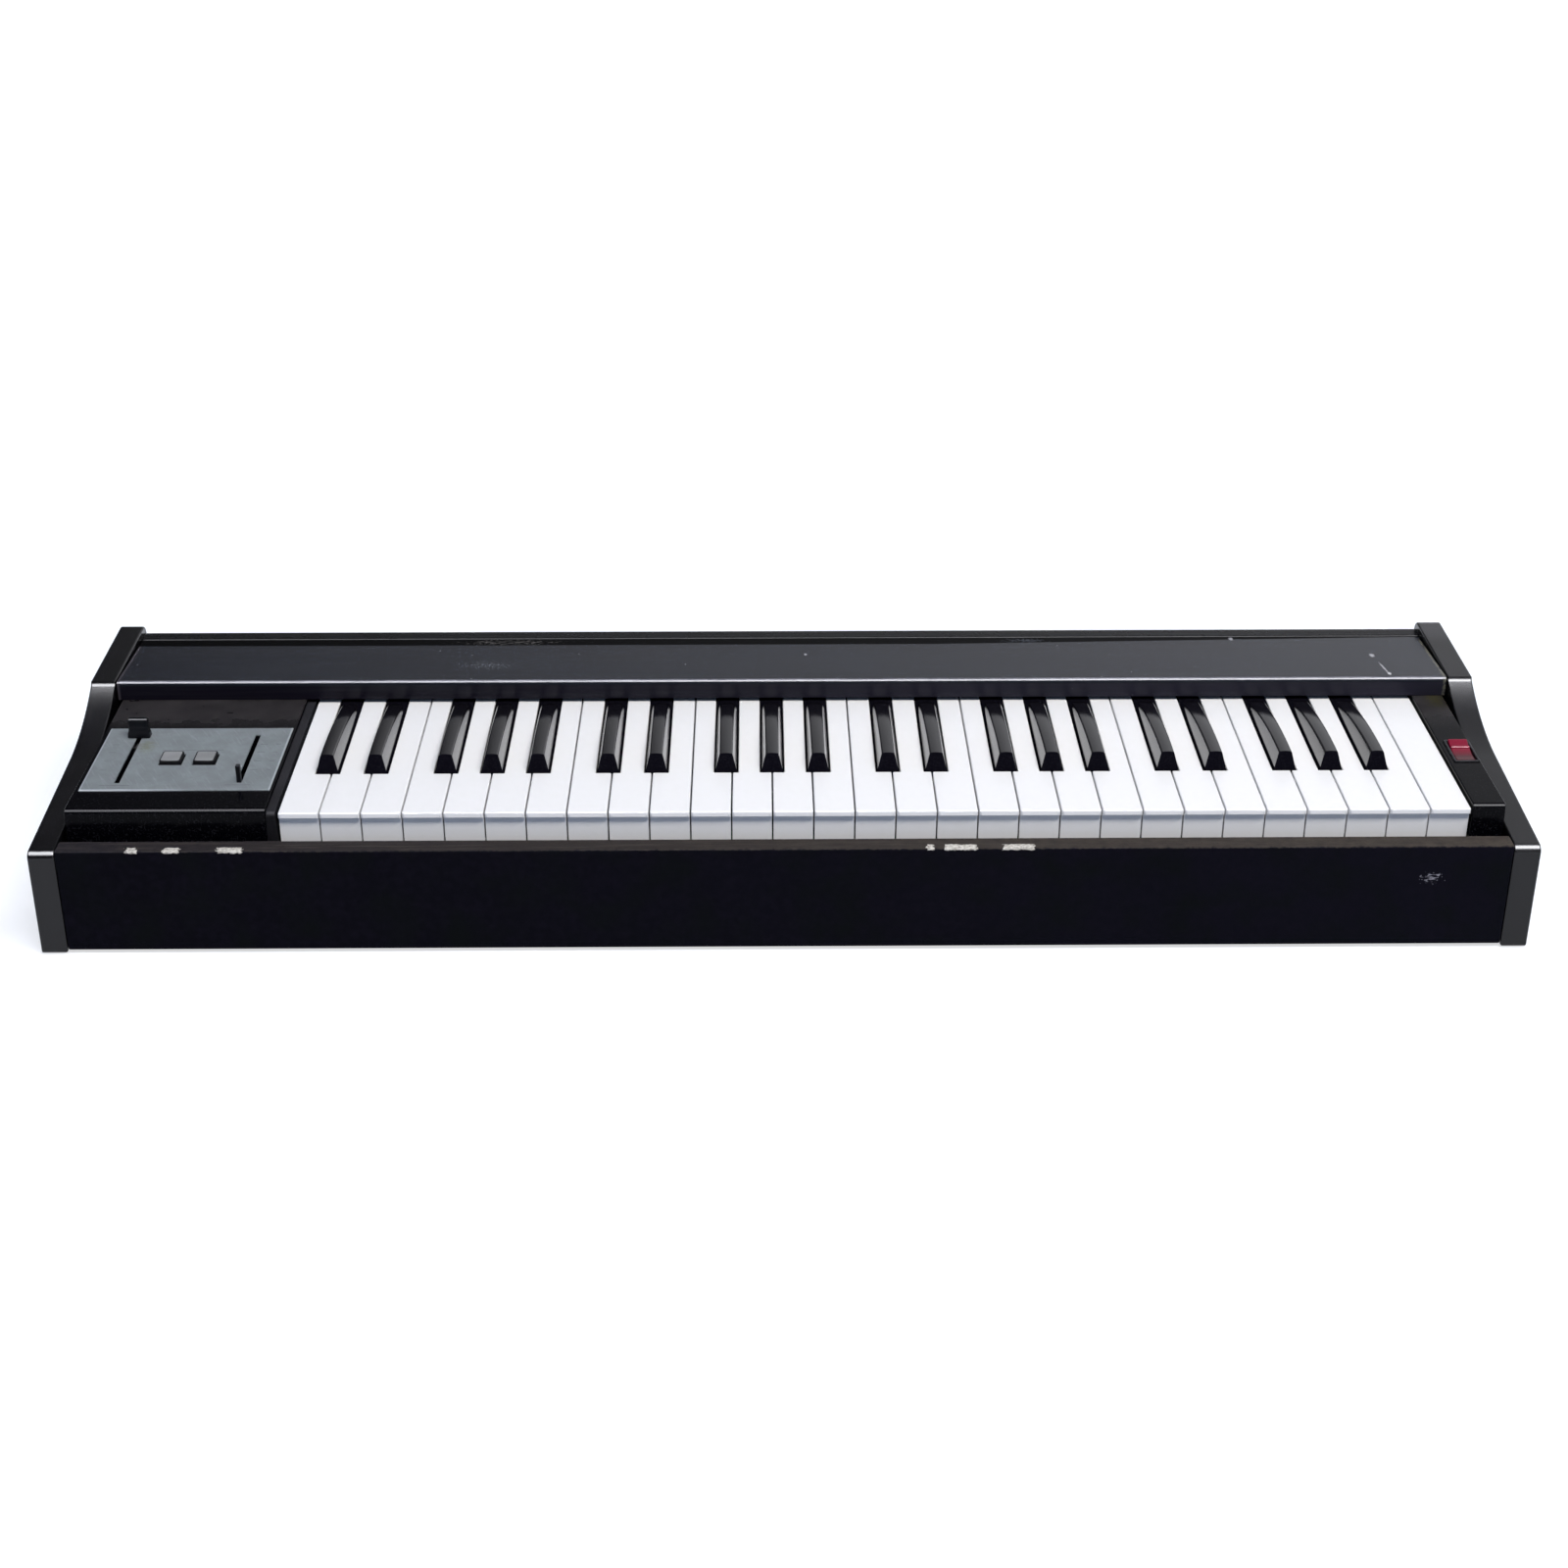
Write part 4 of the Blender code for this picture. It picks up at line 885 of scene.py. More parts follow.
def black_key_rings(centre, edge):
    """Rings of a black key along Y. The crest falls as z = 93 - s s / 860 mm behind the sloping front;
    each ring is upright to the white keys' tops, tapers straight to the crest, turns on two
    quadratic curves and is crowned by 0.2 mm (1 - u u)."""
    half, height = 6.6 * mm, 11 * mm
    lean, fall = 3 * mm, 860 * mm
    crest_y, crest_z = BLACK_FRONT_Y + lean, KEY_TOP + height
    corner = np.array([crest_y, crest_z])
    slope = np.array([lean, height]) / math.hypot(lean, height)
    reach = 0.4 * mm
    t = np.linspace(0, 1, 6)[:, None]
    turn = bent(corner - slope * reach, corner, corner + (reach, -(reach**2) / fall), t)
    front_z = KEY_TOP + (height - reach) * np.array([0, 0.35, 0.7])
    front = np.stack([BLACK_FRONT_Y + lean * (front_z - KEY_TOP) / height, front_z], 1)
    arch_end = 100.8 * mm
    s = np.linspace(reach, arch_end, 22)[1:]
    arch = np.stack([crest_y + s, crest_z - s * s / fall], 1)
    crest = np.concatenate([front, turn, arch])
    low = np.full(len(crest), KEY_TAIL_LOW)
    seat = arc(PIVOT, SEAT_RADIUS, 180, 0, 8)
    tail_y = np.concatenate([[crest[-1, 0] + 0.2 * mm], seat[:, 0], [KEY_TAIL_Y]])
    tail_low = np.concatenate([[KEY_TAIL_LOW], seat[:, 1], [KEY_TAIL_LOW]])
    y = np.concatenate([crest[:, 0], tail_y])
    top = np.concatenate([crest[:, 1], np.full(len(tail_y), 81 * mm)])
    low = np.concatenate([low, tail_low])
    share = (y - crest_y) / (COVER_FRONT_Y - crest_y)
    crest_half = 3.7 * mm
    width = crest_half + 0.6 * mm * np.clip(share, 0, 1.1)
    sloping = half - (half - crest_half) * (top - KEY_TOP) / height
    width = np.where(y < crest_y, np.maximum(sloping, crest_half), width)
    width[len(crest) :] = half - 0.2 * mm
    waist = np.minimum(KEY_TOP, top - 0.15 * mm)
    cut = np.minimum(edge, 0.45 * (top - waist))[:, None]
    t = np.linspace(0, 1, 6)[None]
    along = np.stack([half - width, waist - top], 1)
    along /= np.linalg.norm(along, axis=1, keepdims=True)
    width, top_z, waist = width[:, None], top[:, None], waist[:, None]
    corner_x = bent(width + along[:, :1] * cut, width, width - cut, t)
    corner_z = bent(top_z + along[:, 1:] * cut, top_z, top_z, t)
    crown = (width - cut) * np.array([[0.6, 0.25]])
    ones = np.ones_like(width)
    right_x = np.hstack([half * ones, half * ones, corner_x, crown])
    right_z = np.hstack([low[:, None], waist, corner_z, top_z * np.ones((1, 2))])
    bulge = np.clip(1 - (right_x / np.maximum(width - cut, 1 * mm)) ** 2, 0, 1)
    right_z[:, 8:] -= 0.2 * mm * (1 - bulge[:, 8:])
    right_z[:, 2:8] -= 0.2 * mm
    x = np.hstack([right_x, -right_x[:, ::-1]])
    z = np.hstack([right_z, right_z[:, ::-1]])
    return np.stack([centre + x, np.broadcast_to(y[:, None], x.shape), z], -1)


def nodes_named(start):
    """Names of the CAD nodes that start like this. It is an error if the frame has none."""
    names = [name for name in sorted(BOX) if name.startswith(start)]
    if not names:
        raise RuntimeError("the frame has no node named " + start)
    return names


class MakeCheeks(bpy.types.Operator):
    """Make the two moulded cheeks"""

    bl_idname = "synthesizer.make_cheeks"
    bl_label = "Cheeks"

    def execute(self, context):
        looks = context.scene.case_looks
        skin = moulded_abs("satin_moulded_abs", looks.cheek_colour, 0.2, 0.28, 0.02)
        for name in ("left_cheek", "right_cheek"):
            low, high = BOX[name][:, 0]
            shell = extruded(cheek_outline(), low, high, looks.cheek_edge, 5)
            make_piece(name + "_moulding", [shell], skin, "case", [name])
        return {"FINISHED"}


class MakeFrontBoard(bpy.types.Operator):
    """Make the covered front board"""

    bl_idname = "synthesizer.make_front_board"
    bl_label = "Front board"

    def execute(self, context):
        looks = context.scene.case_looks
        low, high = BOX["front_board"]
        shell = bar(low, high, 0.8 * mm, corner=1.5 * mm, steps=5)
        skin = covering_vinyl(tuple(looks.board_colour))
        make_piece("front_board_covered", [shell], skin, "case", ["front_board"])
        return {"FINISHED"}


class MakeCover(bpy.types.Operator):
    """Make the folded steel cover behind the keys"""

    bl_idname = "synthesizer.make_cover"
    bl_label = "Cover"

    def execute(self, context):
        looks = context.scene.case_looks
        low, high = BOX["top_cover"][:, 0]
        reach = 1.8 * mm
        sheet = extruded(cover_outline(), low - reach, high + reach, 0.3 * mm, 2)
        skin = painted_steel(tuple(looks.cover_colour))
        make_piece("top_cover_sheet", [sheet], skin, "case", ["top_cover"])
        return {"FINISHED"}


class MakeBoards(bpy.types.Operator):
    """Make the floor board, the rear board with its openings and the rubber feet"""

    bl_idname = "synthesizer.make_boards"
    bl_label = "Floor, rear board and feet"

    def execute(self, context):
        looks = context.scene.case_looks
        lacquer = lacquered_board("black_lacquered_plywood", tuple(looks.lacquer_colour), "#0A0A0C")
        half_width, half_depth = BOX["front_board"][1, 0], 112.9 * mm
        low = (-half_width, -half_depth, FLOOR_BOARD[0])
        high = (half_width, half_depth, FLOOR_BOARD[1])
        floor = bar(low, high, 0.5 * mm)
        make_piece("floor_board", [floor], lacquer, "case", ["base_tray"])
        make_piece("rear_board", [self.rear_board(half_width)], lacquer, "case")
        rubber = soft_matt("moulded_rubber", "#141414", "#1D1D1E", 1.5, 0.05, 0.7)
        # Inset and height of a foot's rings, from the middle of its hollow to the floor board
        steps = [(9.5, 1.6), (9.2, 0.2), (8.9, 0), (2.2, 0), (1.6, 0.2), (1.4, 0.8), (0, 4)]
        feet = []
        for x in (-383 * mm, 383 * mm):
            for y in (-81.5 * mm, 81.5 * mm):
                outline = circle((x, y), 12.5 * mm, 40)
                feet.append(solid(carried(outline, np.array(steps) * mm)))
        make_piece("rubber_feet", feet, rubber, "case")
        return {"FINISHED"}

    def rear_board(self, half_width):
        """Upright board: two surfaces in X and Z, 13 mm apart, whose top turns in on quarter circles,
        with an opening for the jack panel and one for the mains inlet."""
        left, right, recess_low, recess_high = JACK_RECESS
        inlet_xs = (INLET_X - INLET_HALF[0], INLET_X + INLET_HALF[0])
        xs = np.array([-half_width, left, right, *inlet_xs, half_width])
        inlet = (SOCKET_Z - INLET_HALF[1], SOCKET_Z + INLET_HALF[1])
        levels = np.array([FLOOR_BOARD[0], recess_low, *inlet, recess_high])
        cosine, sine = quarter(3)
        edge = 1 * mm
        surfaces = []
        for y, inward, top in ((REAR_BOARD[1], -1, 92.4 * mm), (REAR_BOARD[0], 1, 93 * mm)):
            line_y = np.concatenate([np.full(len(levels), y), y + inward * edge * (1 - cosine)])
            line_z = np.concatenate([levels, top - edge * (1 - sine)])
            x, line_y = np.meshgrid(xs, line_y, indexing="ij")
            line_z = np.broadcast_to(line_z, x.shape)
            surfaces.append(np.stack([x, line_y, line_z], -1))
        full = np.ones((len(xs) - 1, surfaces[0].shape[1] - 1), bool)
        full[1, 1:4] = False
        full[3, 2] = False
        return walled(*surfaces, full)


class MakeSockets(bpy.types.Operator):
    """Make the jack panel with its sockets and the mains inlet"""

    bl_idname = "synthesizer.make_sockets"
    bl_label = "Sockets"

    def execute(self, context):
        left, right, low, high = JACK_RECESS
        face = REAR_BOARD[0] + JACK_WEB
        panel = bar((left - 0.2 * mm, REAR_BOARD[0] + 0.1 * mm, low), (right, face, high), 0.4 * mm)
        sheet = plain_metal("zinc_plated_steel", linear("#8F9294"), 0.35, (0.6, 0.6, 6.0))
        make_piece("jack_panel", [panel], sheet, "case")
        nuts, bushes, barrels = [], [], []
        # Each part turns about the socket's axis: list, radius, sides, start angle, then inset and depth
        turned = (
            (nuts, 7, 6, 30, [(0, 0), (0, 1.7), (0.5, 2.2)]),
            (nuts, 7.3, 40, 0, [(0, 0), (0, 0.5), (0.2, 0.6)]),
            (bushes, 4.7, 32, 0, [(0, -3), (0, 3.3), (0.3, 3.8), (1.2, 3.8), (1.5, 3.5), (1.5, -20)]),
            (barrels, 8, 32, 0, [(0.8, -27), (0, -26.2), (0, -4), (0.6, -3.3)]),
        )
        for x in JACK_XS:
            for shells, radius, sides, start, steps in turned:
                outline = circle((x, SOCKET_Z), radius * mm, sides, start)
                shells.append(solid(carried(outline, np.array(steps) * mm + (0, face), "xzy")))
        nickel = plain_metal("nickel_plated_brass", linear("#C9C5BC"), 0.22)
        make_piece("jack_nuts", nuts, nickel, "case")
        make_piece("jack_bushes", bushes, nickel, "case")
        nylon = moulded_abs("moulded_black_nylon", linear("#101012"), 0.5, 0.4, 0.03)
        make_piece("jack_barrels", barrels, nylon, "case")
        outline = rounded_box(
            (INLET_X - INLET_HALF[0], SOCKET_Z - INLET_HALF[1]),
            (INLET_X + INLET_HALF[0], SOCKET_Z + INLET_HALF[1]),
            (6 * mm, 6 * mm, 3 * mm, 3 * mm),
        )
        steps = [(1.5, 109), (0.2, 109.4), (0, 110), (0, 126.1), (0.3, 126.5)]
        steps += [(2.3, 126.5), (2.5, 126.3), (2.5, 111.5)]
        shell = solid(carried(outline, np.array(steps) * mm, "xzy"))
        make_piece("mains_inlet_shell", [shell], nylon, "case")
        pins = []
        for side, lift in ((-1, -1), (0, 1), (1, -1)):
            x, z = INLET_X + side * 7 * mm, SOCKET_Z + lift * 2 * mm
            low, high = (x - 1 * mm, 111 * mm, z - 2 * mm), (x + 1 * mm, 121 * mm, z + 2 * mm)
            pins.append(bar(low, high, 0.5 * mm, "y"))
        brass = plain_metal("rolled_brass", linear("#C9A867"), 0.3, (0.6, 6.0, 0.6))
        make_piece("inlet_pins", pins, brass, "case")
        return {"FINISHED"}


class MakeKeyRails(bpy.types.Operator):
    """Make the pivot rail with its rod and the two felt-topped stop rails"""

    bl_idname = "synthesizer.make_key_rails"
    bl_label = "Key rails"

    def execute(self, context):
        left, right = BOX["white_key_01"][0, 0], BOX["white_key_29"][1, 0]
        profile = [(-7, 13), (5, 13), (5, 49), (2, 57), (2, 68), (-2, 68), (-2, 57), (-7, 49)]
        rail = extruded(np.array(profile) * mm + (PIVOT[0], 0), left, right, 0.4 * mm, 2)
        alloy = plain_metal("extruded_aluminium", linear("#A9ABAD"), 0.4, (12.0, 0.6, 0.6))
        make_piece("pivot_rail", [rail], alloy, "case")
        steel = plain_metal("drawn_steel_rod", linear("#9DA0A4"), 0.28, (12.0, 0.6, 0.6))
        rod = extruded(circle(PIVOT, 2.5 * mm, 24), left, right, 0.3 * mm, 2)
        make_piece("pivot_rod", [rod], steel, "case")
        rails, felts = [], []
        for front, rear, top in ((-89, -75, 52), (-53, -41, 60.8)):
            low = (left, front * mm, 13 * mm)
            rails.append(bar(low, (right, rear * mm, (top - 3) * mm), 0.5 * mm))
            low = (left + 1 * mm, (front + 0.8) * mm, (top - 3.1) * mm)
            felts.append(bar(low, (right - 1 * mm, (rear - 0.8) * mm, top * mm), 0.9 * mm, steps=4))
        beech = lacquered_board("black_stained_beech", "#17150F", "#241F18")
        make_piece("stop_rails", rails, beech, "case")
        felt = soft_matt("pressed_wool_felt", "#3A5A3C", "#4D6E4E", 0.8, 0.25, 1.0)
        make_piece("stop_felts", felts, felt, "case")
        return {"FINISHED"}


class MakeControlBlock(bpy.types.Operator):
    """Make the glossy block left of the keys, its spacer, the grey plate and its marks"""

    bl_idname = "synthesizer.make_control_block"
    bl_label = "Control block"

    def execute(self, context):
        looks = context.scene.control_looks
        gloss = glossy_abs(tuple(looks.block_colour), tuple(looks.dust_and_reflection_colour))
        windows = plate_windows()
        ys = np.unique([value for window in windows for value in window[2:]])
        left, right = BOX["control_block"][:, 0]
        block = windowed_block(left, BLOCK_RIGHT, ys, windows)
        make_piece("control_block_moulding", [block], gloss, "case", ["control_block"])
        spacer = extruded(block_line(82.5 * mm), BLOCK_RIGHT + 0.05 * mm, right, 0.5 * mm)
        satin = moulded_abs("spacer_abs", linear("#09090B"), 0.55, 0.05, 0.02)
        make_piece("key_spacer", [spacer], satin, "case")
        skin = printed_plate(tuple(looks.plate_colour))
        make_piece("control_plate", [windowed_plate(windows)], skin, "case")
        ink = soft_matt("printed_ink", tuple(looks.print_colour), "#5C6166", 2.0, 0.0, 0.6)
        make_piece("scale_marks", self.marks(), ink, "case")
        return {"FINISHED"}

    def marks(self):
        """Thin printed bars beside and below the slots, as a scale."""
        bars = []
        for middle, half in ((-400.5, 2.2), (-312.0, 2.2), (-303.5, 1.4)):
            for y in (-25.5, -36.0, -47.8, -59.3):
                bars.append((middle - half, middle + half, y - 0.3, y + 0.3))
        bars += [(-398.0, -380.4, -79.3, -78.8), (-325.5, -310.8, -79.0, -78.5)]
        bars += [(-371.0, -334.8, -33.4, -33.0)]
        top = PLATE_TOP / mm
        return [
            bar(np.array((a, c, top - 0.1)) * mm, np.array((b, d, top + 0.03)) * mm, 0.01 * mm, steps=1)
            for a, b, c, d in bars
        ]


class MakeSliders(bpy.types.Operator):
    """Make both slider levers and the waisted knob on the left one"""

    bl_idname = "synthesizer.make_sliders"
    bl_label = "Sliders"

    def execute(self, context):
        looks = context.scene.control_looks
        steel = plain_metal("blackened_steel", linear("#1E1F22"), 0.42, (0.6, 0.6, 4.0))
        nylon = moulded_abs("slider_carriage_nylon", linear("#1A1A1C"), 0.5, 0.4, 0.02)
        knob_skin = moulded_abs("slider_knob_abs", looks.knob_colour, 0.22, 0.1, 0.02)
        for name, x in SLOT_XS.items():
            low, high = BOX[name]
            y = (low[1] + high[1]) / 2
            middle = np.array([x, y])
            # The knob is thinner than the lever near its crest, so its lever ends lower
            top = PLATE_TOP + (3.5 * mm if name == "slider_knob" else 10.5 * mm)
            ends = (*(middle - BLADE_HALF), 80 * mm), (*(middle + BLADE_HALF), top)
            blade = bar(*ends, 0.35 * mm, "z", corner=0.5 * mm)
            make_piece(name + "_blade", [blade], steel, name, [name])
            ends = (*(middle - CARRIAGE_HALF), low[2]), (*(middle + CARRIAGE_HALF), 80.9 * mm)
            carriage = bar(*ends, 0.6 * mm)
            make_piece(name + "_carriage", [carriage], nylon, name)
            if name == "slider_knob":
                knob = solid(self.knob_rings(x, y))
                make_piece("slider_knob_cap", [knob], knob_skin, name)
        return {"FINISHED"}

    def knob_rings(self, x, y):
        """Rounded rectangles whose width and depth are eased from a wide foot through a slight waist to
        a thin crest, which closes on a barrel: at 1.8 mm sin t, with 1 - cos t of the insets."""
        knots = np.array([0, 1.5, 5.5, 8.0, 10.4]) * mm
        width = np.array([13.6, 13.3, 11.8, 11.6, 12.0]) * mm
        depth = np.array([6.6, 6.4, 5.2, 4.4, 4.2]) * mm
        cosine, sine = quarter(4)
        crown_cosine, crown_sine = quarter(10)
        foot, crown_insets = 0.3 * mm, np.array([0.9, 1.8]) * mm
        rise = np.linspace(0.6, 10.4, 15) * mm
        lifts = np.concatenate([foot * (1 - cosine), rise, 10.4 * mm + 1.8 * mm * crown_sine[1:]])
        trims = np.zeros((len(lifts), 2))
        trims[:5] = (foot * (1 - sine))[:, None]
        trims[-10:] = crown_insets * (1 - crown_cosine[1:])[:, None]
        base = PLATE_TOP + 0.4 * mm
        rings = []
        for lift, trim in zip(lifts, trims):
            half = np.array([eased(lift, knots, width), eased(lift, knots, depth)]) / 2 - trim
            corner = min(1.1 * mm, half[1] * 0.45)
            outline = rounded_box((x - half[0], y - half[1]), (x + half[0], y + half[1]), corner)
            rings.append(np.column_stack([outline, np.full(len(outline), base + lift)]))
        return np.array(rings)


class MakeButtons(bpy.types.Operator):
    """Make the two push buttons, each a black body with a grey cap"""

    bl_idname = "synthesizer.make_buttons"
    bl_label = "Buttons"

    def execute(self, context):
        looks = context.scene.control_looks
        black = moulded_abs("button_body_abs", linear("#050506"), 0.5, 0.05, 0.02)
        grey = moulded_abs("button_cap_abs", looks.cap_colour, 0.42, 0.3, 0.03)
        for name in ("button_left", "button_right"):
            low, high = BOX[name]
            middle = (low + high)[:2] / 2
            outline = rounded_box(middle - BUTTON_HALF, middle + BUTTON_HALF, 1.4 * mm, 5)
            top = high[2]
            cosine, sine = quarter(4)
            edge = 0.4 * mm
            rim = np.stack([edge * (1 - cosine), top - 0.08 * mm - edge * (1 - sine)], 1)
            steps = np.concatenate([[(0, low[2] + 0.3 * mm)], rim])
            flange = bar(low, (high[0], high[1], low[2] + 1.3 * mm), 0.3 * mm, "z", steps=2)
            body = solid(carried(outline, steps))
            make_piece(name + "_body", [body, flange], black, name, [name])
            cap_half = BUTTON_HALF - 0.8 * mm
            cap = rounded_box(middle - cap_half, middle + cap_half, 1.2 * mm, 5)
            edge = 0.25 * mm
            rim = np.stack([edge * (1 - cosine), top - edge * (1 - sine)], 1)
            steps = np.concatenate([[(0, top - 1 * mm)], rim, [(1.1 * mm, top - 0.05 * mm)]])
            make_piece(name + "_cap", [solid(carried(cap, steps))], grey, name)
        return {"FINISHED"}


class MakePowerSwitch(bpy.types.Operator):
    """Make the block right of the keys with the switch's bezel and red rocker"""

    bl_idname = "synthesizer.make_power_switch"
    bl_label = "Power switch"

    def execute(self, context):
        looks = context.scene.control_looks
        gloss = glossy_abs(tuple(looks.block_colour), tuple(looks.dust_and_reflection_colour))
        x, y = ROCKER[:2]
        room = BEZEL_HALF - 0.6 * mm
        window = (x - room[0], x + room[0], y - room[1], y + room[1])
        block = windowed_block(*END_BLOCK, np.array(window[2:]), [window], wall=0.9 * mm)
        make_piece("end_block_moulding", [block], gloss, "case")
        middle = np.array([x, y])
        outline = rounded_box(middle - BEZEL_HALF, middle + BEZEL_HALF, 1.2 * mm)
        # Inset and height of the bezel's rings: up its sleeve, over its rim and down inside
        steps = [(0.9, 71), (0.65, 71.3), (0.65, 84.45), (0, 84.45), (0, 85.0), (0.15, 85.35)]
        steps += [(0.5, 85.5), (1.2, 85.5), (1.45, 85.35), (1.5, 85), (1.5, 72.5)]
        nylon = moulded_abs("switch_bezel_nylon", linear("#0E0E10"), 0.4, 0.15, 0.02)
        make_piece("switch_bezel", [solid(carried(outline, np.array(steps) * mm))], nylon, "case")
        red = clear_red(tuple(looks.rocker_colour))
        sides = x - ROCKER_HALF_WIDTH, x + ROCKER_HALF_WIDTH
        paddle = extruded(self.rocker_outline(), *sides, 0.6 * mm)
        name = "power_rocker"
        make_piece(name + "_paddle", [paddle], red, name, [name])
        return {"FINISHED"}

    def rocker_outline(self):
        """Side view of the rocker, turned by its tilt: a valley z = 2.2 + 1.4 (u / 11) squared mm
        between two round ends, with a round rib of 1 mm radius across it, over a root that narrows
        downward."""
        rib = 4 + np.cos(np.linspace(math.pi, 0, 13))
        u = np.concatenate([np.linspace(-11, 2.7, 9), rib, np.linspace(5.3, 11, 5)])
        lift = np.sqrt(np.clip(1 - (u - 4) ** 2, 0, None))
        top = np.stack([u, 2.2 + 1.4 * (u / 11) ** 2 + lift], 1)
        front, rear = [(-12, -1.5), (-12, 3.0), (-11.7, 3.4)], [(11.7, 3.4), (12, 3.0), (12, -1.5)]
        outline = np.concatenate([front, top, rear, [(6, -7), (-6, -7)]]) * mm
        turn = math.radians(ROCKER_TILT)
        cosine, sine = math.cos(turn), math.sin(turn)
        turned = outline @ np.array([[cosine, sine], [-sine, cosine]])
        return turned + np.array(ROCKER[1:])


class MakeWhiteKeys(bpy.types.Operator):
    """Make the 29 white keys, notched round the black ones"""

    bl_idname = "synthesizer.make_white_keys"
    bl_label = "White keys"

    def execute(self, context):
        looks = context.scene.key_looks
        acrylic = key_plastic(tuple(looks.white_colour))
        blacks = np.array([BOX[name][:, 0] for name in nodes_named("black_key")])
        clearance = 0.6 * mm
        for name in nodes_named("white_key"):
            left, right = BOX[name][:, 0]
            cuts_left = blacks[(blacks[:, 0] < left) & (blacks[:, 1] > left - clearance), 1]
            cuts_right = blacks[(blacks[:, 1] > right) & (blacks[:, 0] < right + clearance), 0]
            tail_left = cuts_left[0] + clearance if len(cuts_left) else left
            tail_right = cuts_right[0] - clearance if len(cuts_right) else right
            rings = white_key_rings(left, right, tail_left, tail_right, looks.white_edge)
            make_piece(name + "_moulding", [solid(rings)], acrylic, name, [name])
        return {"FINISHED"}


class MakeBlackKeys(bpy.types.Operator):
    """Make the 20 black keys with their arched crests"""

    bl_idname = "synthesizer.make_black_keys"
    bl_label = "Black keys"

    def execute(self, context):
        looks = context.scene.key_looks
        resin = black_key_plastic(tuple(looks.black_colour))
        for name in nodes_named("black_key"):
            rings = black_key_rings(BOX[name][:, 0].mean(), looks.black_edge)
            make_piece(name + "_moulding", [solid(rings)], resin, name, [name])
        return {"FINISHED"}


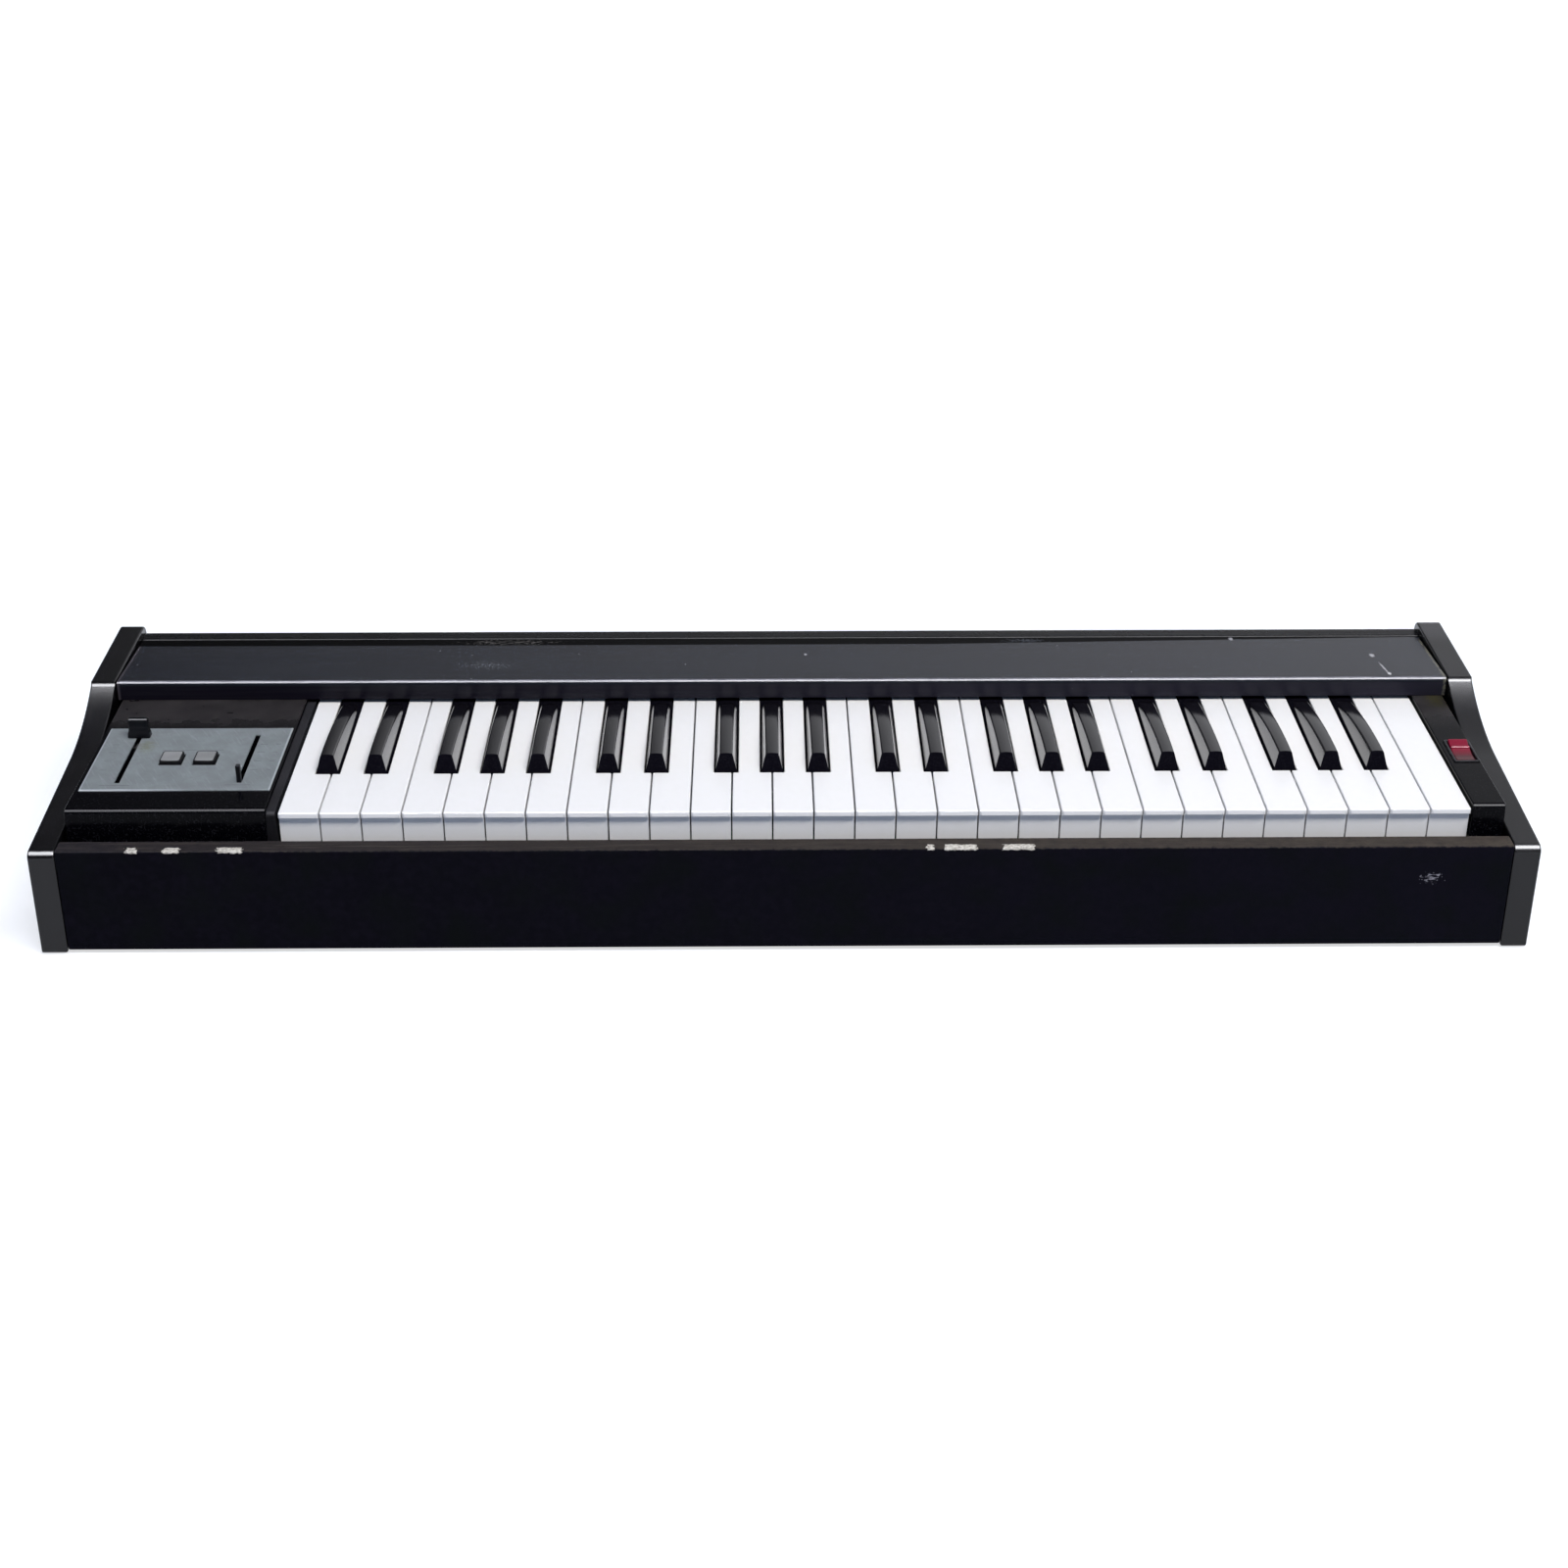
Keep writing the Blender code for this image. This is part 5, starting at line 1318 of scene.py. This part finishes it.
class MakeStage(bpy.types.Operator):
    """Make the pale floor, the studio light and the camera"""

    bl_idname = "synthesizer.make_stage"
    bl_label = "Stage"

    def execute(self, context):
        looks = context.scene.stage_looks
        self.make_floor(looks)
        self.make_world(context.scene)
        sides, place, aim = (2.2, 0.35), (0.75, -1.5, 2.9), (0, -0.1, 0.08)
        self.add_softbox("key_softbox", looks.key_light, sides, place, aim)
        self.make_camera(context.scene)
        context.scene.view_settings.view_transform = "Standard"
        return {"FINISHED"}

    def make_floor(self, looks):
        """Level square grid, z = 0, 16 m across."""
        side = np.linspace(-8, 8, 17)
        x, y = np.meshgrid(side, side, indexing="ij")
        index = np.arange(x.size).reshape(x.shape)
        quads = np.stack([index[:-1, :-1], index[1:, :-1], index[1:, 1:], index[:-1, 1:]], -1)
        mesh = bpy.data.meshes.new("studio_floor")
        points = np.stack([x, y, np.zeros_like(x)], -1).reshape(-1, 3)
        mesh.from_pydata(points, [], quads.reshape(-1, 4).tolist())
        floor = bpy.data.objects.new("studio_floor", mesh)
        bpy.context.scene.collection.objects.link(floor)
        made, tree, shader, at = finish_named("matt_studio_paper")
        colour = tuple(looks.floor_colour)
        wire(tree, shader, {"Base Color": colour, "Roughness": 0.9, "Specular IOR Level": 0.1})
        seen = self.seen_rays(tree)
        # What is seen of the floor is lifted to white, less so within 500 mm, where the shadow lies
        away = add(tree, "ShaderNodeVectorMath", {0: at}, operation="LENGTH").outputs[1]
        lit = {0: away, 1: 500.0, 2: 2500.0, 3: 0.64, 4: 1.0}
        strength = add(tree, "ShaderNodeMapRange", lit)
        glow = add(tree, "ShaderNodeEmission", {"Color": "#FFFFFF", "Strength": strength})
        none = add(tree, "ShaderNodeEmission", {"Color": "#000000", "Strength": 0.0})
        lift = add(tree, "ShaderNodeMixShader", {0: seen, 1: none, 2: glow})
        both = add(tree, "ShaderNodeAddShader", {0: shader, 1: lift})
        wire(tree, tree.nodes["Material Output"], {"Surface": both})
        mesh.materials.append(made)

    def seen_rays(self, tree):
        """1 for rays that the camera, a gloss or glass sends, 0 for the rest."""
        rays = add(tree, "ShaderNodeLightPath", {}).outputs
        total = rays["Is Camera Ray"]
        for kind in ("Is Glossy Ray", "Is Transmission Ray"):
            either = {0: total, 1: rays[kind]}
            total = add(tree, "ShaderNodeMath", either, operation="MAXIMUM")
        return total

    def make_world(self, scene):
        """Even bluish light for the object. What is seen in it is a room: a white horizon, a rear wall
        that brightens to the right, and a wide bright ceiling window above the front."""
        wall_dim, wall_bright, window_bright, fill = 0.07, 0.85, 34.0, 0.36
        world = bpy.data.worlds.new("studio")
        world.use_nodes = True
        scene.world = world
        tree = world.node_tree
        tree.nodes.clear()
        way = add(tree, "ShaderNodeTexCoord", {}).outputs["Generated"]
        x, y, z = add(tree, "ShaderNodeSeparateXYZ", {0: way}).outputs
        ahead = add(tree, "ShaderNodeMath", {0: y, 1: -1.0}, operation="MULTIPLY")
        climb = add(tree, "ShaderNodeMath", {0: z, 1: ahead}, operation="ARCTAN2")
        wall = {0: x, 1: -0.3, 2: 0.3, 3: wall_dim, 4: wall_bright}
        wall = add(tree, "ShaderNodeMapRange", wall)
        # Light that comes by way of a matt surface has a diffuse depth, and the window would speckle it
        depth = add(tree, "ShaderNodeLightPath", {}).outputs["Diffuse Depth"]
        rise, sides = ((climb, 0.7, 0.95), (climb, 1.72, 1.5)), ((x, -0.8, -0.5), (x, 0.8, 0.5))
        window = within(tree, *rise, *sides, (depth, 0.6, 0.4))
        upper = add(tree, "ShaderNodeMapRange", {0: window, 3: wall, 4: window_bright})
        horizon = add(tree, "ShaderNodeMapRange", {0: z, 1: 0.06, 2: 0.02})
        bright = add(tree, "ShaderNodeMapRange", {0: horizon, 3: upper, 4: 1.0})
        seen = add(tree, "ShaderNodeBackground", {"Color": "#F9FAFF", "Strength": bright})
        light = add(tree, "ShaderNodeBackground", {"Color": "#B4CDF7", "Strength": fill})
        both = add(tree, "ShaderNodeMixShader", {0: self.seen_rays(tree), 1: light, 2: seen})
        add(tree, "ShaderNodeOutputWorld", {"Surface": both})

    def add_softbox(self, name, watts, sides, place, aim):
        """Rectangular area lamp of a width and a height that looks from its place at its aim."""
        lamp = bpy.data.lights.new(name, "AREA")
        lamp.shape = "RECTANGLE"
        lamp.size, lamp.size_y = sides
        lamp.color = linear("#FFFAF4")[:3]
        lamp.energy = watts
        box = bpy.data.objects.new(name, lamp)
        away = np.array(place) - np.array(aim)
        away /= np.linalg.norm(away)
        across = np.cross((0, 0, 1), away)
        across /= np.linalg.norm(across)
        turned = np.stack([across, np.cross(away, across), away], 1)
        box.matrix_world = Matrix.Translation(place) @ Matrix(turned.tolist()).to_4x4()
        bpy.context.scene.collection.objects.link(box)

    def make_camera(self, scene):
        """Camera of the photograph: 27.17 degrees down, 0.66 to the right, hardly rolled."""
        lens = bpy.data.cameras.new("photo_camera")
        lens.sensor_width = 36
        lens.lens = 55.86
        lens.clip_end = 100
        camera = bpy.data.objects.new("photo_camera", lens)
        down, turn, roll = (math.radians(angle) for angle in (27.171, 0.655, -0.071))
        level = math.cos(down)
        forward = np.array([math.sin(turn) * level, math.cos(turn) * level, -math.sin(down)])
        right = np.array([math.cos(turn), -math.sin(turn), 0])
        below = np.cross(forward, right)
        rolled = right * math.cos(roll) + below * math.sin(roll)
        below = -right * math.sin(roll) + below * math.cos(roll)
        turned = np.stack([rolled, -below, -forward], 1)
        place = (-15.3 * mm, -1337.6 * mm, 730.6 * mm)
        camera.matrix_world = Matrix.Translation(place) @ Matrix(turned.tolist()).to_4x4()
        scene.collection.objects.link(camera)
        scene.camera = camera


LOOKS = {
    "case_looks": CaseLooks,
    "control_looks": ControlLooks,
    "key_looks": KeyLooks,
    "stage_looks": StageLooks,
}
STEPS = (
    MakeCheeks,
    MakeFrontBoard,
    MakeCover,
    MakeBoards,
    MakeSockets,
    MakeKeyRails,
    MakeControlBlock,
    MakeSliders,
    MakeButtons,
    MakePowerSwitch,
    MakeWhiteKeys,
    MakeBlackKeys,
    MakeStage,
)


class SynthesizerPanel(bpy.types.Panel):
    """Lists the settings and the steps"""

    bl_idname = "VIEW3D_PT_synthesizer"
    bl_label = "Synthesizer"
    bl_space_type = "VIEW_3D"
    bl_region_type = "UI"
    bl_category = "Synthesizer"

    def draw(self, context):
        for name, group in LOOKS.items():
            box = self.layout.box()
            for setting in group.__annotations__:
                box.prop(getattr(context.scene, name), setting)
        for step in STEPS:
            self.layout.operator(step.bl_idname)


def register():
    """Adds the settings to the scene, and the operators and the panel."""
    for name, group in LOOKS.items():
        bpy.utils.register_class(group)
        setattr(bpy.types.Scene, name, bpy.props.PointerProperty(type=group))
    for made in (*STEPS, SynthesizerPanel):
        bpy.utils.register_class(made)


def unregister():
    """Takes away what register() added."""
    for made in (SynthesizerPanel, *reversed(STEPS)):
        bpy.utils.unregister_class(made)
    for name, group in LOOKS.items():
        delattr(bpy.types.Scene, name)
        bpy.utils.unregister_class(group)


def main():
    """Runs every step in order."""
    register()
    for step in STEPS:
        name = step.bl_idname.split(".")[1]
        if getattr(bpy.ops.synthesizer, name)() != {"FINISHED"}:
            raise RuntimeError(step.bl_label + " could not be made")


if __name__ == "__main__":
    main()
